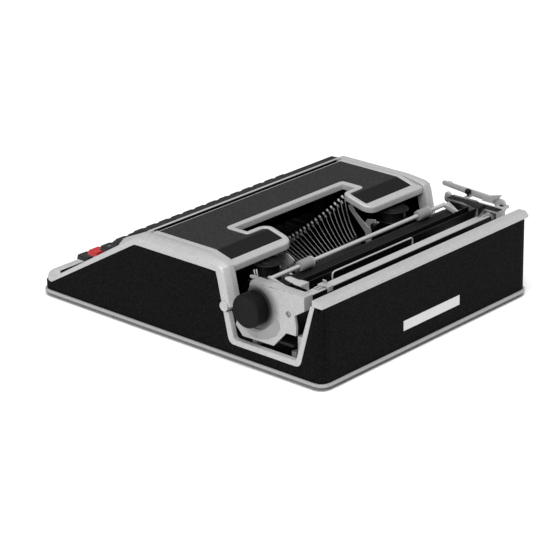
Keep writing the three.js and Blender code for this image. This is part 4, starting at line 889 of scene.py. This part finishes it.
def typebar(piece, faces, angle):
    """A thin bar that curves up towards its end, and a slug with its two raised faces."""
    place = bar_frame(angle)
    turn = place.to_3x3().inverted()
    bend = turn @ Vector((math.copysign(8, angle), 0, 7)) * (angle / BEND_FULL) ** 2
    sections = []
    for along in BAR_STATIONS:
        spot = bend * max(0, (along - BEND_FROM) / BEND_OVER) ** 2 + Vector((0, 0, along))
        deep = 1.15 - 0.009 * along
        corners = ((-BAR_HALF, -deep), (BAR_HALF, -deep), (BAR_HALF, deep), (-BAR_HALF, deep))
        sections.append([place @ (spot + Vector((a, b, 0))) for a, b in corners])
    piece.loft(sections)
    slug = Piece("slug", "frame", "steel")
    slug.box((-0.4, 0.4), (-4.4, 4.4), (59.4, 60.6), 0.15, 1)
    for y in (-3.3, 3.3):
        slug.box((-1.05, 1.05), (y - 1.2, y + 1.2), (60.4, 63.4), 0.3, 2)
    faces.take(slug.bm, place @ Matrix.Translation(bend))


def segment_comb():
    """The segment's dark curved sheet, which hides the bars' lower ends, and the bars' pivot wire."""
    comb = Piece("segment_comb", "frame", "dark_steel", smooth=30)
    for side in (-1, 1):
        sections = []
        for i in range(33):
            place = bar_frame(side * math.radians(2 + 2 * i))
            sections.append([place @ Vector((0, out, along)) for out, along in COMB_SECTION])
        comb.loft(sections)
    half = (BAR_COUNT // 2 + 0.5) * BAR_STEP
    angles = [half * (i / 20 - 1) for i in range(41)]
    comb.wire([FAN_CENTRE + radial(angle) * PIVOT_R for angle in angles], 1.1, 8)
    comb.done()


def basket_plates():
    """The plate on each side of the basket, and a bracket with a rubber stop on the left one."""
    for hand, side in SIDES:
        # painted light: the right plate gets the lighter paint so that it looks lit, though the cover and
        # the side wall shade it
        slot = "plate" if side > 0 else "grey_metal"
        plate = Piece("basket_side_" + hand, "frame", slot, ("basket_plate_" + hand,))
        plate.prism(BASKET_OUTLINES[hand], "X", *span(side, 66.2, 67.4), 0.2, 1)
        if side < 0:
            plate.prism(BRACKET_OUTLINE, "X", -67.6, -66.8, 0.2, 1)
            plate.box((-66.8, -65), (77.5, 80.5), (83, 84.6), 0.2)
        plate.done()
    roller = Piece("basket_roller", "frame", "rubber")
    roller.rod((-66.7, 73.5, 78.6), (-63.5, 73.5, 78.6), 3.4, edge=0.5)
    roller.done()


def type_basket():
    """The fan of typebars with their slugs, the middle one apart, and what stands round them."""
    middle = BAR_COUNT // 2
    fan = Piece("typebar_fan", "frame", "grey_metal", ("typebars",), smooth=30)
    slugs = Piece("typebar_slugs", "frame", "steel", smooth=30)
    for i in range(BAR_COUNT):
        if i != middle:
            typebar(fan, slugs, (i - middle) * BAR_STEP)
    fan.done()
    slugs.done()
    bar = Piece("middle_bar", "centre_typebar", "grey_metal", ("centre_typebar",), smooth=30)
    slug = Piece("middle_slug", "centre_typebar", "steel", smooth=30)
    typebar(bar, slug, 0.0)
    bar.done()
    slug.done()
    segment_comb()
    basket_plates()


def ribbon_spools():
    """Two flanged spools with ribbon on them and drive pegs on top."""
    for hand, side in SIDES:
        name = "ribbon_spool_" + hand
        spool = Piece(name + "_reel", name, "dark_steel", (name,))
        spool.lathe(SPOOL_PROFILE, (side * SPOOL_X, SPOOL_Y, 0), 64, "Z", bored=True)
        for a, b in circle(6, 3):
            spot = (side * SPOOL_X + a, SPOOL_Y + b)
            spool.rod((*spot, 88), (*spot, 89), 0.9, edge=0.2, sides=12)
        spool.done()


# ------------ carriage: bail and knobs
BAIL = (106.2, 87.95)  # (y, z) of the bail's rod
BAIL_PIVOT = (124, 83)
BAIL_LUG = [(108, 88.5), (112, 93), (118.5, 89.6), (124.4, 86), (124, 84)]
BAIL_HOOK_X = 137.4
BAIL_HOOK = ((102.6, 87.4), (103.4, 89.4), (105.4, 90.6), (107.6, 90.3), (110, 87.6))
ROLLERS = (("right", 83.5), ("left", -110))
SLEEVE_PROFILE = (  # (along X from the roller's middle, radius)
    (-10, 2.6), (-10, 5.1), (-9.4, 5.8), (7, 5.8), (7.2, 5.4), (9.4, 5.4), (10, 4.9), (10, 2.6),
)
RING_PROFILE = ((-8.2, 5.5), (-8.2, 6.2), (-7.2, 6.2), (-7.2, 5.5))
KNOB_PROFILE = (  # (x, radius)
    (164.1, 17.2), (164.7, 18.1), (178.4, 18.25), (179.4, 17.9), (179.95, 17),
    (179.95, 15.6), (179.6, 15.2), (179.5, 0.1),
)


def paper_bail():
    """The bail's rod with an arm at each end, a lug, a hook and two rollers."""
    rod = Piece("bail_rod", "paper_bail", "steel", ("paper_bail",))
    rod.rod((-147.4, *BAIL), (137.9, *BAIL), 2.3, edge=0.5)
    arm = link(BAIL, BAIL_PIVOT, 2.6, 3.2)
    rod.prism(arm, "X", 136.4, 138, 0.3)
    rod.prism(arm, "X", -147.5, -145.9, 0.3)
    rod.prism(BAIL_LUG, "X", -147.5, -146.4, 0.2)
    rod.wire([(BAIL_HOOK_X, y, z) for y, z in BAIL_HOOK], 0.45)
    rod.done()
    for hand, x in ROLLERS:
        name = "bail_roller_" + hand
        roller = Piece(name + "_sleeve", name, "roller_grey", (name,))
        sleeve = [(x + along, radius) for along, radius in SLEEVE_PROFILE]
        roller.lathe(sleeve, (0, *BAIL), sides=36, bored=True)
        roller.done()
        ring = Piece(name + "_ring", name, "steel")
        band = [(x + along, radius) for along, radius in RING_PROFILE]
        ring.lathe(band, (0, *BAIL), sides=36, bored=True)
        ring.done()


def knobs():
    """The knob at each end of the platen, with a shallow dish in its end."""
    for hand, side in SIDES:
        name = "platen_knob_" + hand
        knob = Piece(name + "_grip", "platen", "knob", (name,))
        profile = [(side * x, radius) for x, radius in KNOB_PROFILE]
        knob.lathe(profile, (0, AXIS_Y, AXIS_Z), sides=64)
        knob.done()


# ------------ carriage: right end plate
RECESS_OUTLINE = [  # (y, z) from the platen's axis
    (29.5, -4), (33, -9), (33.6, -15), (28.2, -24), (17.5, -30.4), (5.7, -33.4), (-6.2, -33.2),
    (-11.5, -29.6), (-2.6, -27.7), (8, -24), (17.5, -17), (25.5, -9),
]
SCREW_Y, SCREW_Z = AXIS_Y + 45, AXIS_Z + 4.5
SCREW_PROFILE = [(164.9, 2.7), (165.2, 2.7), (165.6, 2.1)]
SCREW_DASHES = 16  # dark dashes round the screw, each 0.4 radian long
WORN_Z = (93.55, 93.95)  # a broken dark line along the plate's upper edge
WORN = (
    (100.5, 107), (108.4, 109.4), (119, 122.2), (123.2, 124), (129, 135.4), (136, 137),
    (139.6, 141), (148, 149), (157.6, 158.2),
)


def end_plate_details():
    """The right end plate's pressed recess, drawn as a thin darker patch of painted shade, its screw and
    the dark marks of wear.
    """
    # painted shade: the recess is a thin darker patch standing on the plate, not a hollow
    recess = Piece("plate_recess_shade", "carriage", "grey_metal")
    recess.prism([(AXIS_Y + a, AXIS_Z + b) for a, b in RECESS_OUTLINE], "X", 164.9, 165.15, 0)
    recess.done()
    screw = Piece("plate_screw", "carriage", "grey_metal")
    y, z = SCREW_Y, SCREW_Z
    screw.lathe(SCREW_PROFILE, (0, y, z), sides=24)
    screw.done()
    marks = Piece("plate_marks", "carriage", "dark_steel", smooth=30)
    slot_turn = Matrix.Rotation(math.radians(35), 4, "X")
    marks.box((165.4, 165.7), (y - 0.45, y + 0.45), (z - 2.2, z + 2.2), 0, turn=slot_turn)
    for i in range(SCREW_DASHES):
        start = math.tau * i / SCREW_DASHES
        dash = [
            (y + radius * math.cos(angle), z + radius * math.sin(angle))
            for radius, angle in ((2.7, start), (3.2, start), (3.2, start + 0.4), (2.7, start + 0.4))
        ]
        marks.prism(dash, "X", 164.9, 165.1, 0)
    for worn_y in WORN:
        marks.box((164.85, 165.15), worn_y, WORN_Z, 0)
    marks.done()


# ------------ carriage: levers, stops and wire
LEAF_X = 145.5  # middle of a release lever's leaf
LEAF_SECTIONS = (  # y, half width, z
    (135.2, 1.4, 98.6), (136.0, 3.0, 98.9), (137.6, 4.2, 98.9), (144, 4.6, 98.1),
    (148.5, 5.0, 97.8), (151, 6.4, 97.8), (159.6, 6.5, 97.8),
)
LEAF_END = ((139, 98.9), (152, 98.9), (152, 97.4), (139, 89.4))  # (x, z) of the turned-down end
STOPS = (("right", 115), ("left", -157))
WIRE_Y, WIRE_MIDDLE_X = 140, 15
WIRE_HALF = ((77, 86.2), (79.2, 85.4), (80.2, 83), (80, 76.4))  # (x, z) at the wire's right end
BLADE_FRONT, BLADE_CRANK = (88, 102.8), (168.1, 97.2)  # (y, z) of the return lever's ends
BLADE_LEAF = [(142.7, 95.4), (155, 104.4), (170.5, 108.4), (167, 104.2), (158.5, 98.9), (158.6, 95.4)]
FLANGE_SHADE = [  # painted shade over the left end plate's flange, as (x, y), notched for the return lever
    (-164.6, 106), (-151.5, 106), (-151.5, 175.5), (-160.9, 175.5), (-160.9, 145), (-164.6, 136),
]
LEFT_ARM = [(110, 95.2), (110, 97), (142, 97.6), (144, 96.6), (142, 95.2)]


def release_levers():
    """A shaped leaf on each side, with its end turned down."""
    for hand, side in SIDES:
        name = "release_lever_" + hand
        slot = "steel" if side > 0 else "dark_steel"
        lever = Piece(name + "_leaf", name, slot, (name,))
        sections = []
        for y, half, z in LEAF_SECTIONS:
            corners = ((-half, 0), (half, 0), (half, 1.1), (half - 1, 1.5), (1 - half, 1.1), (-half, 0.9))
            sections.append([Vector((side * LEAF_X + side * a, y, z + b)) for a, b in corners])
        lever.loft(sections)
        lever.prism([(side * x, z) for x, z in LEAF_END], "Y", 158.9, 160.1, 0.2)
        lever.done()


def margin_stops():
    """A sliding clip on the margin rail on each side, with an upright and two tabs."""
    lean = Matrix.Rotation(math.radians(18), 4, "Y")
    for hand, x in STOPS:
        name = "margin_stop_" + hand
        stop = Piece(name + "_tabs", name, "plate", (name,))
        stop.box((x - 4, x + 4), (153.3, 167.7), (87.5, 88.6))
        stop.box((x - 4, x + 4), (153.3, 154.3), (82, 88.4))
        stop.box((x - 4, x + 4), (166.7, 167.7), (83, 88.4))
        stop.box((x - 3.6, x - 2.6), (155, 160), (88, 92.4), 0.25, turn=lean)
        stop.box((x + 3, x + 5), (161, 165.5), (88.1, 90.2), 0.4)
        for y in (156.2, 160.4):
            stop.box((x + 3.5, x + 13), (y, y + 1.9), (87.7, 88.5), 0.25)
        stop.done()


def paper_wire():
    """The folding wire behind the platen."""
    wire = Piece("wire", "paper_wire", "steel", ("paper_wire",))
    right = [(x, WIRE_Y, z) for x, z in WIRE_HALF]
    left = [(2 * WIRE_MIDDLE_X - x, WIRE_Y, z) for x, z in WIRE_HALF]
    wire.wire(right[::-1] + left, 0.95, 12)
    wire.done()


def return_lever():
    """The line-space lever with its leaf, finger and dark caps, the parts round its pivot, and dark
    sheets of painted shade on the left flange and the margin rail's rear face.
    """
    blade = Piece("lever_blade", "return_lever", "plate", ("return_lever",))
    blade.prism(link(BLADE_FRONT, BLADE_CRANK, 2.8, 4.4), "X", -172, -169.6, 0.5)
    blade.box((-178.3, -171), (87.4, 94), (101.6, 103.6), 0.8)
    blade.prism(BLADE_LEAF, "X", -167.6, -166.9, 0.2)
    blade.prism(link((158, 92.4), (172, 94), 1.6, 1.1), "X", -173, -172.1, 0.2)
    blade.box((-170.5, -158.8), (122, 128.2), (95.9, 96.9))
    blade.done()
    dark = Piece("lever_cap", "return_lever", "knob")
    dark.rod((-172.9, 168.1, 91.5), (-167, 168.1, 91.5), 4.4, edge=1.2)
    dark.rod((-172.3, 88.2, 102.8), (-171.7, 88.2, 102.8), 1.0, edge=0.1)
    dark.done()
    # painted shade: a dark sheet over the left end plate's flange, which lies in shade
    cover = Piece("flange_and_rail_shade", "carriage", "dark_steel")
    cover.prism(FLANGE_SHADE, "Z", 94.5, 95.0, 0.2)
    # painted shade: a dark sheet over the margin rail's rear face
    cover.box((-161, 161), (166.05, 166.35), (80, 86.4), 0)
    cover.done()
    arm = Piece("left_arm", "return_lever", "grey_metal")
    arm.prism(LEFT_ARM, "X", -160, -158.8)
    arm.done()
    cap = Piece("left_arm_cap", "carriage", "plate")
    cap.prism(link((101.5, 90.5), (101.8, 94.4), 4.4, 4.2, 12), "X", -161.8, -158.4, 0.9, 3)
    cap.done()


def small_parts():
    """Two prongs and their link on the carriage, the ribbon lever's tag and a rear bracket."""
    prongs = Piece("prongs", "carriage", "plate")
    lean = Matrix.Rotation(math.radians(12), 4, "X")
    prongs.box((151.6, 152.4), (100.9, 102.4), (91.6, 101.6), turn=lean)
    prongs.box((151.6, 152.4), (97.6, 99), (91.6, 100.4), turn=lean)
    prongs.prism(link((93.4, 91.8), (101, 92.4), 1.7, 2.1), "X", 151.3, 152.7)
    prongs.done()
    tab = Piece("ribbon_lever", "frame", "steel")
    tab.wire([(81, 28, 84), (80, 27.5, 97), (77, 26.4, 104.4)], 0.9)
    tab.box((75.2, 80.4), (25.4, 27.2), (100.6, 102.6), 0.4)
    tab.done()
    block = Piece("rear_bracket", "frame", "plate")
    block.box((148, 157), (160, 168.4), (12, 46), 0.5)
    block.done()


# ------------ edges of the kept CAD pieces
SOFT_EDGES = {
    "body_shell": 0.6, "base_plate": 1.2, "rear_strip": 1.5, "cut_trim_right": 1.0,
    "cut_trim_left": 1.0, "label_plate": 0.2,
}
SHARP = math.radians(32)


def soften_edges():
    """Rounds CAD nodes' sharp edges without touching their meshes."""
    for node, width in SOFT_EDGES.items():
        bevel = NODES[node].modifiers.new("soft_edges", "BEVEL")
        bevel.width = width * MM
        bevel.segments = 2
        bevel.limit_method = "ANGLE"
        bevel.angle_limit = SHARP
        bevel.use_clamp_overlap = True
        bevel.harden_normals = False


add_camera()
add_floor()
add_light()
place_materials()
soften_edges()
silver_frame()
ribbon_cover()
hood()
keyboard()
type_basket()
ribbon_spools()
paper_bail()
knobs()
end_plate_details()
release_levers()
margin_stops()
paper_wire()
return_lever()
small_parts()
